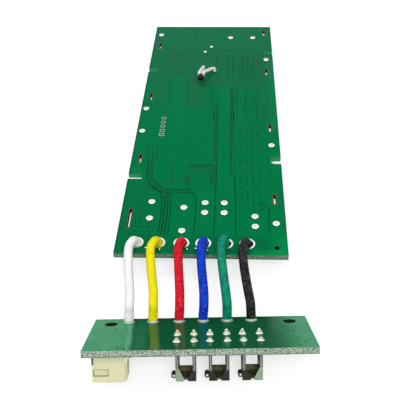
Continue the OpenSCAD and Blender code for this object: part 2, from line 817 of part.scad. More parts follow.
// Aluminium can with a rolled groove; it is what the board stands on
module capacitor_cans()
    color("silver")
        for (at = cans)
            under(at)
                rotate_extrude()
                    polygon([[0, can_base_t], [can_d / 2 - 0.2, can_base_t],
                        [can_d / 2, can_base_t + 0.2], [can_d / 2, can_base_t + 0.8],
                        [can_d / 2 - 0.35, can_base_t + 1.1], [can_d / 2, can_base_t + 1.4],
                        [can_d / 2, can_h - 0.3], [can_d / 2 - 0.3, can_h], [0, can_h]]);

// Square plastic base with two cut corners
module capacitor_bases()
    color(dark_plastic)
        for (at = cans)
            under(at)
                linear_extrude(height = can_base_t)
                    polygon(let (r = can_d / 2 + 0.15, c = 1.4)
                        [[-r, -r], [r, -r], [r, r - c], [r - c, r], [-r + c, r], [-r, r - c]]);

fets = [for (k = [0:3]) [(k - 1.5) * fet_pitch, fet_y]];
fet_tab = 1.4;                  // how far the tab stands out
fet_leg = 2.6;                  // reach of the legs, with their feet
fet_leg_gap = 4.6;              // spacing of the two legs

module power_transistors() color(dark_plastic) for (at = fets) under(at) moulded(fet_w, fet_depth, fet_h);

module transistor_tabs()
    color(tin)
        for (at = fets)
            under(at)
                translate([-fet_w / 2 + 0.6, fet_depth / 2, 0])
                    cube([fet_w - 1.2, fet_tab, 0.5]);

module transistor_legs()
    color(tin)
        for (at = fets, s = [-1, 1])
            under(at)
                translate([s * fet_leg_gap / 2, -fet_depth / 2, 0])
                    rotate([0, 0, -90])
                        gull_pin(fet_h * 0.44, fet_leg - 1, 1, 0.8, 0.45);

mcu_pins = 8;                   // pins on each side of the controller
pin_reach = 0.7;
pin_foot = 0.4;
pin_t = 0.16;

module chip_with_mark(w, l) difference() {
    moulded(w, l, chip_h, 0.15);
    translate([-w / 2 + 1, -l / 2 + 1, chip_h - 0.08]) cylinder(d = 0.8, h = 1);
}

module controller_chip() color(dark_plastic) under(mcu_at) chip_with_mark(mcu_w, mcu_w);

module controller_pins()
    color(tin)
        for (side = [0:3], k = [0:mcu_pins - 1])
            under(mcu_at, side * 90)
                translate([mcu_w / 2, (k - (mcu_pins - 1) / 2) * mcu_pitch, 0])
                    gull_pin(chip_h * 0.45, pin_reach, pin_foot, mcu_pitch / 2 - 0.02, pin_t);

monitor_pins_a_side = 8;

module monitor_chip() color(dark_plastic) under(monitor_at) chip_with_mark(monitor_w, monitor_l);

module monitor_pins()
    color(tin)
        for (side = [0, 1], k = [0:monitor_pins_a_side - 1])
            under(monitor_at, side * 180)
                translate([monitor_w / 2, (k - (monitor_pins_a_side - 1) / 2) * monitor_pitch, 0])
                    gull_pin(chip_h * 0.45, pin_reach, pin_foot, 0.42, pin_t);

regulator_size = [6.5, 3.5, 1.6];

module regulator_body()
    color(dark_plastic)
        under(regulator_at)
            moulded(regulator_size[0], regulator_size[1], regulator_size[2]);

module regulator_legs()
    color(tin)
        under(regulator_at) {
            for (k = [-1:1])
                translate([k * 2.3, -regulator_size[1] / 2, 0])
                    rotate([0, 0, -90])
                        gull_pin(0.7, 0.9, 0.8, 0.7, 0.25);
            translate([0, regulator_size[1] / 2, 0])
                rotate([0, 0, 90])
                    gull_pin(0.7, 0.9, 0.8, 3, 0.25);
        }

// Shunt: a strip of resistance metal between two thick ends, arched over the board
module current_shunts()
    color([0.35, 0.33, 0.30])
        for (at = shunts)
            under(at)
                rotate([90, 0, 0])
                    linear_extrude(height = shunt_w, center = true)
                        polygon([[-shunt_l / 2, 0], [-shunt_l / 2, shunt_h], [shunt_l / 2, shunt_h],
                            [shunt_l / 2, 0], [shunt_l / 2 - 1.4, 0], [shunt_l / 2 - 1.6, 0.2],
                            [-shunt_l / 2 + 1.6, 0.2], [-shunt_l / 2 + 1.4, 0]]);

end_l = 0.6;                    // metal ends of the power resistors

module balance_resistors()
    color([0.13, 0.13, 0.15])
        for (y = balance_rows) under([balance_x, y]) chip_body(shunt_l, shunt_w, 0.55, end_l);

module balance_switches()
    color(dark_plastic)
        for (y = balance_rows) under([switch_x, y]) moulded(1.3, 2.9, 1);

module balance_switch_legs()
    color(tin)
        for (y = balance_rows)
            under([switch_x, y]) {
                for (s = [-1, 1]) translate([0.65, s * 0.95, 0]) gull_pin(0.45, 0.3, 0.25, 0.4, 0.12);
                translate([-0.65, 0, 0]) rotate([0, 0, 180]) gull_pin(0.45, 0.3, 0.25, 0.4, 0.12);
            }

diode_size = [4.4, 2.6, 2.2];

module clamp_diodes()
    color(dark_plastic)
        for (at = diodes) under(at) moulded(diode_size[0], diode_size[1], diode_size[2], 0.2);

module diode_ends()
    color(tin)
        for (at = diodes, s = [-1, 1])
            under(at)
                translate([s * (diode_size[0] / 2 + 0.1), 0, 0.45])
                    cube([0.2, 1.5, 0.9], center = true);

fuse_size = [6.1, 2.7, 1.6];
fuse_end = 1.1;

module fuse_body() color("ivory") under(fuse_at) chip_body(fuse_size[0], fuse_size[1], fuse_size[2], fuse_end);
module fuse_ends() color(tin) under(fuse_at) chip_end_pair(fuse_size[0], fuse_size[1], fuse_size[2], fuse_end);

// Small chips as [across, along, turn]
resistor_chips = concat(
    [for (x = filter_xs, y = balance_rows) [x, y, 0]],
    [for (k = [0:4]) [monitor_at[0] - 6, monitor_at[1] - 6 + 3 * chip_w * k, 0]]
);
capacitor_chips = concat(
    [for (k = [0:3], s = [-1, 1]) [mcu_at[0] + (k - 1.5) * 2 * chip_l, mcu_at[1] + s * 7.5, 90]],
    [for (s = [-1, 1]) [regulator_at[0] + s * 4.5, regulator_at[1] + 6, 0]]
);
small_h = 0.5;
small_end = 0.3;

module chip_resistors()
    color([0.08, 0.08, 0.09])
        for (c = resistor_chips) under(c, c[2]) chip_body(chip_l, chip_w, small_h, small_end);

module chip_capacitors()
    color([0.62, 0.50, 0.38])
        for (c = capacitor_chips) under(c, c[2]) chip_body(chip_l, chip_w, chip_w, small_end);

module chip_ends()
    color(tin) {
        for (y = balance_rows)
            under([balance_x, y]) chip_end_pair(shunt_l, shunt_w, 0.55, end_l);
        for (c = resistor_chips) under(c, c[2]) chip_end_pair(chip_l, chip_w, small_h, small_end);
        for (c = capacitor_chips) under(c, c[2]) chip_end_pair(chip_l, chip_w, chip_w, small_end);
    }

main_board();
tab_slot_rims();
solder_pads();
header_hole_rings();
lead_hole_rings();
lead_white();
lead_yellow();
lead_red();
lead_blue();
lead_green();
lead_black();
lead_tails();
lead_tail_solder();
lead_pins();
lead_feet();
lead_pin_solder();
sensor_bead();
sensor_sleeves();
sensor_legs();
sensor_solder();
terminal_board();
clip_left();
clip_middle();
clip_right();
clip_solder();
socket_housing();
socket_contacts();
socket_anchors();
capacitor_cans();
capacitor_bases();
power_transistors();
transistor_tabs();
transistor_legs();
controller_chip();
controller_pins();
monitor_chip();
monitor_pins();
regulator_body();
regulator_legs();
current_shunts();
balance_resistors();
balance_switches();
balance_switch_legs();
clamp_diodes();
diode_ends();
fuse_body();
fuse_ends();
chip_resistors();
chip_capacitors();
chip_ends();
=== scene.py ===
"""Looks for a battery management board: solder-masked laminate with its copper artwork showing through,
six silicone leads, soldered joints, and the small terminal board with its spring clips."""

import math

import bpy
import numpy as np
from mathutils import Matrix, Vector


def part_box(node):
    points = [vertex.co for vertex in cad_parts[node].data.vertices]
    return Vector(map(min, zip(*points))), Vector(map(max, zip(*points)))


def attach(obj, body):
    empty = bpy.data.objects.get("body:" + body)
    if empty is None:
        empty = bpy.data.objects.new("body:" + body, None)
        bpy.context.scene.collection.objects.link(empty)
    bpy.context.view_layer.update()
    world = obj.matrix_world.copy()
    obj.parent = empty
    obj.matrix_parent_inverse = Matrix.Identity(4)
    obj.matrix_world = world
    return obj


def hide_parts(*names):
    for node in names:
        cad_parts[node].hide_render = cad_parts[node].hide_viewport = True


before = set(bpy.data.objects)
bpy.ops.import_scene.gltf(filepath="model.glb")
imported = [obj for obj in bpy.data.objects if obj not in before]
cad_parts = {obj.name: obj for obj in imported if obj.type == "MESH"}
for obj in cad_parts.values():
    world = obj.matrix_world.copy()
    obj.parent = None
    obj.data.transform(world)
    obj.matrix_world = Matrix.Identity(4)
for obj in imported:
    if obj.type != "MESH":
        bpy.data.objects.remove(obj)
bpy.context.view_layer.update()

MM = 0.001
X, Y, Z = np.eye(3)

# ---- where the two boards lie ----

main_low, main_high = (np.array(corner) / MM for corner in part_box("main_board"))
BOARD_T = main_high[2] - main_low[2]
ORIGIN = np.array([(main_low[0] + main_high[0]) / 2, main_low[1], main_low[2]])  # near edge, underside
HALF_W = (main_high[0] - main_low[0]) / 2
MAIN_L = main_high[1] - main_low[1]

BOARD_GAP = 18.5  # near edge of the control board to the low edge of the terminal board
TERM_X = 0.6  # middle of the terminal board to the right of the control board's
TERM_YAW = math.radians(2.8)
TERM_TILT = math.atan(7.9 / 12.85)  # its clips' back corners and its low edge share the table
TERM_W = 54.0
SCREW_INSET, SCREW_BACK = 4.5, 4.4  # screw holes from the side edges and from the low edge
CLIP_X = 4.3  # middle of the middle clip
CLIP_PITCH = 7.8
LEG_OUT = 2.0  # each clip leg from the middle of its clip
LIP_EDGE = -18.33  # along the slope, where the lips of the clips start
SOCKET_FRONT = -23.25
PANEL = (-24.3, -21.0, -4.5, -3.0)  # sunk panel of the socket: left, right, low, high
LOCATING_HOLE = (20.9, 3.0)  # from the middle of the near edge
NOTCH_IN = 4.55  # reach of the longest notch
FIRST_NOTCH = 28.5  # the notches start this far along the control board


def term_point(u, v, h):
    """Point of the terminal board: u across, v from its low edge up the slope, h square to it. The
    slope turns (v, h) by the tilt about X, and the yaw then turns the result about Z."""
    y = -v * math.cos(TERM_TILT) + h * math.sin(TERM_TILT)
    z = v * math.sin(TERM_TILT) + h * math.cos(TERM_TILT)
    return np.array([
        TERM_X + u * math.cos(TERM_YAW) - y * math.sin(TERM_YAW) + ORIGIN[0],
        u * math.sin(TERM_YAW) + y * math.cos(TERM_YAW) - BOARD_GAP + ORIGIN[1],
        z,
    ])


TERM_ORIGIN = term_point(0, 0, 0)
# Across, down the slope towards the control board, and square to the terminal board
TERM_AXES = np.array([term_point(1, 0, 0), term_point(0, -1, 0), term_point(0, 0, 1)]) - TERM_ORIGIN
MAIN_AXES = np.eye(3)

# ---- skins worked out on grids ----


def skin(rings, poles=None, closed=False):
    """Quads between neighbouring rings of a grid. With poles, a fan shuts each end ring; with closed,
    the last ring is joined back to the first."""
    n, m, _ = rings.shape
    rows = np.arange(n if closed else n - 1)
    i, k = np.meshgrid(rows, np.arange(m), indexing="ij")
    j, right = (i + 1) % n, (k + 1) % m
    quads = np.stack([i * m + k, i * m + right, j * m + right, j * m + k], -1).reshape(-1, 4)
    points, fans = rings.reshape(-1, 3), np.zeros((0, 3), int)
    if poles is not None:
        points = np.vstack([points, poles])
        k, right = np.arange(m), (np.arange(m) + 1) % m
        first = np.stack([np.full(m, n * m), right, k], -1)
        last = np.stack([np.full(m, n * m + 1), (n - 1) * m + k, (n - 1) * m + right], -1)
        fans = np.vstack([first, last])
    return points, quads, fans


def outward(points, quads, fans):
    """The same skin with its faces pointing out: the sum of a . (b x c) over its triangles is six
    times the volume that it holds, and is negative where the skin is inside out."""
    halves = np.vstack([quads[:, [0, 1, 2]], quads[:, [0, 2, 3]], fans])
    a, b, c = (points[halves[:, k]] for k in range(3))
    if np.einsum("ij,ij", a, np.cross(b, c)) < 0:
        quads, fans = quads[:, ::-1], fans[:, ::-1]
    return points, quads, fans


def curve(points, steps):
    """Catmull-Rom curve: between two points, the cubic whose slope at each of them is half the step
    between that point's neighbours. An end point stands in for the neighbour that it lacks."""
    p = np.asarray(points, float)
    p = np.vstack([p[:1], p, p[-1:]])
    a, b, c, d = (p[k:len(p) - 3 + k, None] for k in range(4))
    t = (np.arange(steps) / steps)[None, :, None]
    line = 0.5 * (2 * b + (c - a) * t + (2 * a - 5 * b + 4 * c - d) * t**2 + (3 * b - a - 3 * c + d) * t**3)
    return np.vstack([line.reshape(-1, 3), p[-1:]])


def tube(path, radius, sides=24):
    """Round tube: a circle of the given radius, one number or one for each point, square to the path
    at every point. Its first and last rings are shut flat."""
    along = np.gradient(path, axis=0)
    along /= np.linalg.norm(along, axis=1, keepdims=True)
    a = np.cross(along, X)
    a /= np.linalg.norm(a, axis=1, keepdims=True)
    b = np.cross(along, a)
    angle = np.linspace(0, 2 * np.pi, sides, endpoint=False)[None, :, None]
    radius = np.broadcast_to(radius, len(path))[:, None, None]
    rings = path[:, None] + radius * (np.cos(angle) * a[:, None] + np.sin(angle) * b[:, None])
    return outward(*skin(rings, poles=path[[0, -1]]))


def turned(profile, base, axes=MAIN_AXES, sides=24, swell=1.0):
    """Profile of (radius, height) pairs turned about the third axis through base, its radius times
    swell, one number or one for each side. Its first and last points lie on the axis, as its poles."""
    angle = np.linspace(0, 2 * np.pi, sides, endpoint=False)
    circle = np.cos(angle)[:, None] * axes[0] + np.sin(angle)[:, None] * axes[1]
    circle = circle * np.broadcast_to(swell, sides)[:, None]
    inner = profile[1:-1]
    rings = base + inner[:, 0, None, None] * circle + inner[:, 1, None, None] * axes[2]
    return outward(*skin(rings, poles=base + profile[[0, -1], 1, None] * axes[2]))


def hoop(centre, spread, radius, profile, sides=40):
    """Closed band round an oblong hole: each profile point (out, up) is carried round two half
    circles of the radius, whose centres lie spread apart along Y."""
    angle = (np.arange(sides) + 0.5) * 2 * np.pi / sides
    out = np.cos(angle)[:, None] * X + np.sin(angle)[:, None] * Y
    ends = centre + np.sign(np.sin(angle))[:, None] * spread / 2 * Y
    rings = ends[:, None] + (radius + profile[:, 0])[None, :, None] * out[:, None]
    rings = rings + profile[:, 1][None, :, None] * Z
    return outward(*skin(rings, closed=True))


def ribbon(points, width, low, high):
    """Flat track: a low trapezium carried along a line on the board, mitred at each bend by the mean
    of the two sides' directions, and shut at both ends."""
    p = np.asarray(points, float)
    step = np.diff(p, axis=0)
    side = np.stack([-step[:, 1], step[:, 0]], -1)
    side /= np.linalg.norm(side, axis=1, keepdims=True)
    mitre = np.vstack([side[:1], side[:-1] + side[1:], side[-1:]])
    mitre /= np.einsum("ij,ij->i", mitre, np.vstack([side, side[-1:]]))[:, None]
    profile = np.array([[-0.5, low], [0.5, low], [0.35, high], [-0.35, high]])
    flat = p[:, None] + mitre[:, None] * width * profile[None, :, :1]
    rings = np.concatenate([flat, np.broadcast_to(profile[None, :, 1:], (len(p), 4, 1))], -1)
    return outward(*skin(rings, poles=rings[[0, -1]].mean(1)))


def solids(node, origin, axes):
    """Box of each separate solid of a CAD node, as (low, high) along the given axes in millimetres.
    Corners of one triangle take the lowest number among them until no number changes."""
    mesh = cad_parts[node].data
    mesh.calc_loop_triangles()
    corners, triangles = np.zeros(len(mesh.vertices) * 3), np.zeros(len(mesh.loop_triangles) * 3, int)
    mesh.vertices.foreach_get("co", corners)
    mesh.loop_triangles.foreach_get("vertices", triangles)
    keys, where = np.unique(np.round(corners.reshape(-1, 3) / MM, 3), axis=0, return_inverse=True)
    triangles, label = where.ravel()[triangles].reshape(-1, 3), np.arange(len(keys))
    while True:
        lowest = label.copy()
        np.minimum.at(lowest, triangles.ravel(), np.repeat(label[triangles].min(1), 3))
        if (lowest == label).all():
            break
        label = lowest
    local = (keys - origin) @ axes.T
    return [(local[label == k].min(0), local[label == k].max(0)) for k in np.unique(label)]


def piece(name, skins, finish, stands_for=(), smooth=True):
    """One object of several skins, given in millimetres, that rides on the board."""
    points, faces, start = [], [], 0
    for corners, quads, fans in skins:
        points.append(corners)
        faces += (quads + start).tolist() + (fans + start).tolist()
        start += len(corners)
    mesh = bpy.data.meshes.new(name)
    mesh.from_pydata((np.vstack(points) * MM).tolist(), [], faces)
    mesh.polygons.foreach_set("use_smooth", np.full(len(faces), smooth))
    mesh.materials.append(finish)
    made = bpy.data.objects.new(name, mesh)
    bpy.context.scene.collection.objects.link(made)
    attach(made, "root")
    if stands_for:
        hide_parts(*stands_for)


# ---- finishes ----


def rgb(red, green, blue):
    """Screen colour from 0 to 255, as the linear colour that a shader works in."""
    s = np.array([red, green, blue]) / 255
    linear = np.where(s <= 0.04045, s / 12.92, ((s + 0.055) / 1.055) ** 2.4)
    return (*(float(c) for c in linear), 1.0)


class Value:
    """A shader socket that takes part in sums: each operator adds the Math node for it."""

    def __init__(self, nodes, socket):
        self.nodes, self.socket = nodes, socket

    def maths(self, operation, *values, clamp=False):
        return self.nodes.node("ShaderNodeMath", {"operation": operation, "use_clamp": clamp},
                               dict(enumerate(values)))

    def __add__(self, other):
        return self.maths("ADD", self, other)

    __radd__ = __add__

    def __sub__(self, other):
        return self.maths("SUBTRACT", self, other)

    def __rsub__(self, other):
        return self.maths("SUBTRACT", other, self)

    def __mul__(self, other):
        return self.maths("MULTIPLY", self, other)

    __rmul__ = __mul__

    def __abs__(self):
        return self.maths("ABSOLUTE", self)

    def limited(self):
        return self.maths("ADD", self, 0.0, clamp=True)

    def wrapped(self, half):
        """The value carried back by whole steps of twice half, until it lies within half of 0."""
        return self.maths("WRAP", self, half, -half)


class Nodes:
    """The nodes of one material, or of the world."""

    def __init__(self, tree, shader, output):
        self.tree = tree
        tree.nodes.clear()
        self.shader = tree.nodes.new(shader)
        end = tree.nodes.new(output)
        tree.links.new(self.shader.outputs[0], end.inputs["Surface"])

    def node(self, kind, settings=None, sockets=None, output=0):
        """Adds a node: its settings first, then each socket's value or link. Gives the named output."""
        made = self.tree.nodes.new(kind)
        for name, value in (settings or {}).items():
            setattr(made, name, value)
        for name, value in (sockets or {}).items():
            self.feed(made, name, value)
        return Value(self, made.outputs[output])

    def feed(self, made, name, value):
        if isinstance(value, Value):
            self.tree.links.new(value.socket, made.inputs[name])
        else:
            made.inputs[name].default_value = value

    def place(self, stretch=None):
        """Object coordinates in metres, stretched along each axis where a pattern needs it."""
        at = self.node("ShaderNodeTexCoord", output="Object")
        return at if stretch is None else self.node(
            "ShaderNodeMapping", {"vector_type": "POINT"}, {"Vector": at, "Scale": stretch})

    def parts(self, vector):
        return [self.node("ShaderNodeSeparateXYZ", None, {0: vector}, k) for k in range(3)]

    def dot(self, vector, direction):
        return self.node("ShaderNodeVectorMath", {"operation": "DOT_PRODUCT"},
                         {0: vector, 1: tuple(float(c) for c in direction)}, "Value")

    def noise(self, size, detail=2.0, roughness=0.5, stretch=None):
        """Cloudy pattern from 0 to 1 with blots of about the given size in millimetres."""
        return self.node("ShaderNodeTexNoise", None, {
            "Vector": self.place(stretch), "Scale": 1 / (size * MM), "Detail": detail,
            "Roughness": roughness})

    def rise(self, value, low, high):
        """0 below low, 1 above high, and smooth between."""
        return self.node("ShaderNodeMapRange", {"interpolation_type": "SMOOTHSTEP"}, {
            "Value": value, "From Min": low, "From Max": high, "To Min": 0.0, "To Max": 1.0})

    def band(self, value, low, high, soft):
        """1 between low and high, fading to 0 over soft on each side."""
        return self.rise(value, low - soft, low + soft) * (1 - self.rise(value, high - soft, high + soft))

    def blend(self, share, first, second):
        """Colour that goes from the first to the second as share goes from 0 to 1."""
        return self.node("ShaderNodeMix", {"data_type": "RGBA"}, {0: share, 6: first, 7: second}, 2)

    def bump(self, height, strength, depth):
        """Relief of the given depth in millimetres where height goes from 0 to 1."""
        return self.node("ShaderNodeBump", None, {
            "Height": height, "Strength": strength, "Distance": depth * MM})


class Finish(Nodes):
    """A material made of one Principled shader. Numbers that hold all over it are set on its sockets."""

    def __init__(self, name, **fixed):
        self.material = bpy.data.materials.new("finish_" + name)
        self.material.use_nodes = True
        super().__init__(self.material.node_tree, "ShaderNodeBsdfPrincipled", "ShaderNodeOutputMaterial")
        for socket, value in fixed.items():
            self.shader.inputs[socket.replace("_", " ").title().replace("Ior", "IOR")].default_value = value

    def paint(self, **what):
        """Feeds the shader: colour, roughness, metallic, coat, normal or glow."""
        sockets = {"colour": "Base Color", "roughness": "Roughness", "metallic": "Metallic",
                   "coat": "Coat Weight", "normal": "Normal", "glow": "Emission Color"}
        for name, value in what.items():
            self.feed(self.shader, sockets[name], value)
        return self.material


def laminate(name, face, edge, bottom, roughness, height, artwork, bores):
    """Solder mask on both faces of a glass-epoxy board, whose sawn edges show the paler, speckled laminate,
    with painted shade in its bores and painted light on walls that face the light. The height that tells
    them apart is square to the board, and that of its underside is bottom, in metres."""
    f = Finish(name, specular_ior_level=0.01, coat_roughness=0.05, coat_ior=1.5)
    deep, top = height(f), bottom + BOARD_T * MM
    on_face = (f.rise(deep, top - 0.03 * MM, top - 0.02 * MM)
               + (1 - f.rise(deep, bottom + 0.02 * MM, bottom + 0.03 * MM))).limited()
    mask, coat = artwork(f, f.blend(f.noise(14, 3, 0.55), face[0], face[1]))
    mask = f.blend(f.noise(0.35, 2, 0.6) * 0.3, mask, face[2])
    glass = f.rise(f.noise(0.3, 3, 0.7), 0.38, 0.62)
    scorch = f.rise(f.noise(1.6, 4, 0.7, stretch=(0.5, 0.5, 1)), 0.5, 0.75)
    sawn = f.blend(scorch * 0.35, f.blend(glass, edge[0], edge[1]), edge[2])
    sawn = f.blend((1 - f.rise(deep, bottom + 0.1 * MM, bottom + 0.4 * MM)) * 0.55, sawn, edge[3])
    # Painted shade: dark marks the bores, whose walls go near black. Painted light: lit marks walls that
    # turn a pale green.
    dark, lit = bores(f)
    sawn = f.blend((glass * 0.2 + 0.75) * lit, sawn, rgb(44, 168, 98))
    sawn = f.blend(dark * 0.96, sawn, rgb(5, 22, 12))
    wave, rough = f.noise(2.2, 2, 0.5), f.noise(0.2, 3, 0.7)
    if coat is not None:
        f.paint(coat=on_face * coat)
    return f.paint(colour=f.blend(on_face, sawn, mask), roughness=(1 - on_face) * 0.3 + roughness,
                   normal=f.bump(wave * on_face * 0.4 + rough * (1 - on_face), 0.35, 0.03))


def spot(value, middle, half):
    """1 within half of the middle, in millimetres, and 0 outside."""
    return 1 - value.nodes.rise(abs(value - middle * MM), half * MM, (half + 0.1) * MM)


def leg_distance(u):
    """How far u, in metres across the terminal board, lies from the middle line of the nearest clip
    leg: ||u - CLIP_X| - LEG_OUT|, with u first carried back by whole pitches to the middle clip."""
    return abs(abs((u - CLIP_X * MM).wrapped(CLIP_PITCH / 2 * MM)) - LEG_OUT * MM)


def main_height(f):
    """Height of a point over the table, in metres."""
    return f.parts(f.place())[2]


def term_height(f):
    """Height of a point square to the terminal board, in metres from the table's origin."""
    return f.dot(f.place(), TERM_AXES[2])


def main_artwork(f, mask):
    """Tints of the mask over its copper artwork, with painted light and shade among them: painted shade by
    the near left corner and round the lead hooks, painted light by the two notches, brighter along the
    right edge, and greyer and browner towards the far end, partly a painted sheen. Each tint has a zone
    (left, right, near, far, soft border) in millimetres from the near left corner, a share and a colour.
    There is no coat."""
    x, y, _ = f.parts(f.place())
    left, near = ORIGIN[0] - HALF_W, ORIGIN[1]

    def zone(x0, x1, y0, y1, soft=1.2):
        across = f.band(x, (left + x0) * MM, (left + x1) * MM, soft * MM)
        return across * f.band(y, (near + y0) * MM, (near + y1) * MM, soft * MM)

    tints = [
        # Painted shade by the near left corner: the first tint on this line.
        ((-5, 11, -5, 32, 4), 0.4, rgb(8, 94, 54)), ((45, 60, -5, 8, 4), 0.6, rgb(0, 148, 74)),
        # Painted light by the left notch: the second tint on this line.
        ((38, 60, -5, 2.2, 1), 0.5, rgb(20, 152, 80)), ((-5, 4, 37.6, 38.4, 1.8), 0.7, rgb(20, 150, 80)),
        # Painted light by the right notch: the first tint on this line. Painted shade round the lead hooks:
        # the second.
        ((45, 60, 45.8, 46.6, 1.8), 0.7, rgb(40, 154, 82)), ((6, 44, 0.6, 7.6, 1.5), 0.3, rgb(4, 82, 48)),
        ((14, 44, 90.6, 96, 1), 0.5, rgb(34, 96, 70)), ((15.4, 22, 76.4, 97, 1.5), 0.4, rgb(44, 92, 68)),
        ((42, 46.6, 68, 118, 1.5), 0.35, rgb(34, 98, 72)), ((3, 9, 78, 96, 2), 0.35, rgb(36, 94, 66)),
        ((28, 31.4, 66, 91, 0.4), 0.5, rgb(0, 122, 72)), ((10.4, 15.4, 60, 99, 0.6), 0.4, rgb(0, 120, 70)),
        ((33.4, 37, 66, 90, 0.5), 0.4, rgb(0, 120, 70)), ((7, 23, 98, 116.4, 0.6), 0.35, rgb(36, 96, 70)),
        ((25.7, 42, 96.8, 115.6, 0.5), 0.3, rgb(10, 96, 66)),
        ((1, 47, 119.5, 137, 1), 0.25, rgb(30, 116, 80)),
        ((18, 25, 124, 133, 2), 0.5, rgb(8, 112, 70)), ((45.6, 47.5, 62, 110, 0.5), 0.4, rgb(8, 136, 76)),
        ((18, 27.4, 39, 41.6, 0.3), 0.5, rgb(24, 86, 50)),
    ]
    # Towards the far end the mask turns greyer and browner: partly a painted sheen where it is seen at a
    # low angle, partly a browner tint.
    far = f.rise(y, (near + 82) * MM, (near + 112) * MM)
    mask = f.blend(far * 0.8, mask, rgb(28, 106, 76))
    for area, share, tint in tints:
        mask = f.blend(zone(*area) * share, mask, tint)
    grid = f.noise(1.1, 3, 0.6, stretch=(1, 0.25, 1))
    mask = f.blend(f.rise(grid, 0.5, 0.7) * 0.3, mask, rgb(10, 84, 54))
    crossed = f.noise(1.3, 3, 0.6, stretch=(0.25, 1, 1))
    mask = f.blend(f.rise(crossed, 0.52, 0.7) * 0.22, mask, rgb(0, 98, 54))
    fine = f.rise(f.noise(0.5, 2, 0.5, stretch=(1, 0.12, 1)), 0.52, 0.6) * zone(33.5, 46.5, 20, 118, 1)
    mask = f.blend(fine * 0.4, mask, rgb(14, 84, 56))
    streak = f.rise(f.noise(5, 2, 0.5, stretch=(1, 0.3, 1)), 0.52, 0.66)
    mask = f.blend(far * streak * 0.35, mask, rgb(44, 92, 66))
    mask = f.blend(zone(-5, 0.4, -5, 150, 0.3) * 0.8, mask, rgb(0, 60, 34))
    mask = f.blend(zone(47.7, 60, -5, 150, 0.2) * 0.6, mask, rgb(0, 74, 44))
    return f.blend(zone(-5, 60, 139.3, 150, 0.3) * 0.8, mask, rgb(0, 68, 42)), None


def main_bores(f):
    """Painted shade in the locating hole by the near right corner, and painted light on the walls of the
    notches.
    """
    x, y, _ = f.parts(f.place())
    hole = spot(x, ORIGIN[0] + LOCATING_HOLE[0], 1.2) * spot(y, ORIGIN[1] + LOCATING_HOLE[1], 1.2)
    inner, near = HALF_W - NOTCH_IN, ORIGIN[1] + FIRST_NOTCH
    notches = f.rise(abs(x - ORIGIN[0] * MM), (inner - 0.05) * MM, (inner + 0.05) * MM)
    return hole, notches * f.rise(y, (near - 0.5) * MM, (near + 0.5) * MM)


def term_places(f):
    """How far a point lies across the terminal board, down its slope from the low edge, so below 0
    on the board, and square to it over its underside, all in metres."""
    at = f.place()
    return [f.dot(at, axis) - float(axis @ TERM_ORIGIN) * MM for axis in TERM_AXES]


def term_bores(f):
    """Painted shade in the two screw holes near the low corners; no wall here has painted light."""
    u, v, _ = term_places(f)
    return spot(abs(u), TERM_W / 2 - SCREW_INSET, 2) * spot(v, -SCREW_BACK, 2), 0.0


def term_artwork(f, mask):
    """A darker, glossier middle, whose dark is a painted reflection of the shade under the control board,
    with a ragged left edge that has a pale painted line outside it, a dark line on it and a lighter band
    inside it; duller, chipped ends; and flux that dulls the gloss along the clip legs. Gives the tint and
    the share of the coat."""
    u, v, _ = term_places(f)
    # Painted reflection: the middle is painted dark for the shade under the control board that the mask
    # mirrors, and its left edge is ragged and slants.
    mirror_edge = u + v * 0.05 + (f.noise(3, 3, 0.6) - 0.5) * (0.7 * MM)
    mirrored_shade = f.rise(mirror_edge, -17 * MM, -16.7 * MM)
    right = 1 - f.rise(u, 16 * MM, 25.5 * MM)
    paler = f.rise(f.noise(5, 3, 0.6), 0.4, 0.6) * 0.5
    mask = f.blend(paler, mask, rgb(54, 158, 108))
    # Along that edge: a pale painted line outside it, the dark middle, a lighter band inside it, and a dark
    # line on it.
    mask = f.blend(f.band(mirror_edge, -18.4 * MM, -17.5 * MM, 0.25 * MM) * 0.3, mask, rgb(128, 184, 152))
    mask = f.blend(mirrored_shade * right * 0.97, mask, rgb(0, 70, 33))
    mask = f.blend(f.band(mirror_edge, -16 * MM, -13.4 * MM, 0.8 * MM) * 0.75, mask, rgb(16, 108, 68))
    mask = f.blend(f.band(mirror_edge, -17.2 * MM, -16.7 * MM, 0.2 * MM) * 0.7, mask, rgb(12, 70, 46))
    chips = f.rise(u, 15 * MM, 19 * MM) * f.rise(f.noise(0.9, 3, 0.6), 0.58, 0.66)
    chips = chips + f.band(u, -20.6 * MM, -16.8 * MM, 0.4 * MM) * f.band(
        v, -23.7 * MM, -20.4 * MM, 0.5 * MM) * f.rise(f.noise(0.7, 2, 0.6), 0.48, 0.56)
    glossy = f.rise(u + v * 0.09, -13.9 * MM, -13.6 * MM) * (1 - f.rise(u, 9 * MM, 15 * MM))
    ends = 1 - mirrored_shade * (1 - f.rise(u, 20 * MM, 25 * MM))
    by_legs = 1 - f.rise(leg_distance(u + v * 0.02), 0.9 * MM, 1.2 * MM)
    flux = f.band(v, -23.6 * MM, -13 * MM, 0.4 * MM) * by_legs
    reach = CLIP_PITCH + 3.6
    flux = flux * f.band(u, (CLIP_X - reach) * MM, (CLIP_X + reach) * MM, 0.1 * MM)
    coat = (glossy * 0.5 + ends * 0.16) * (1 - flux * 0.75) + 0.03
    return f.blend((chips * 0.6).limited(), mask, rgb(6, 80, 48)), coat


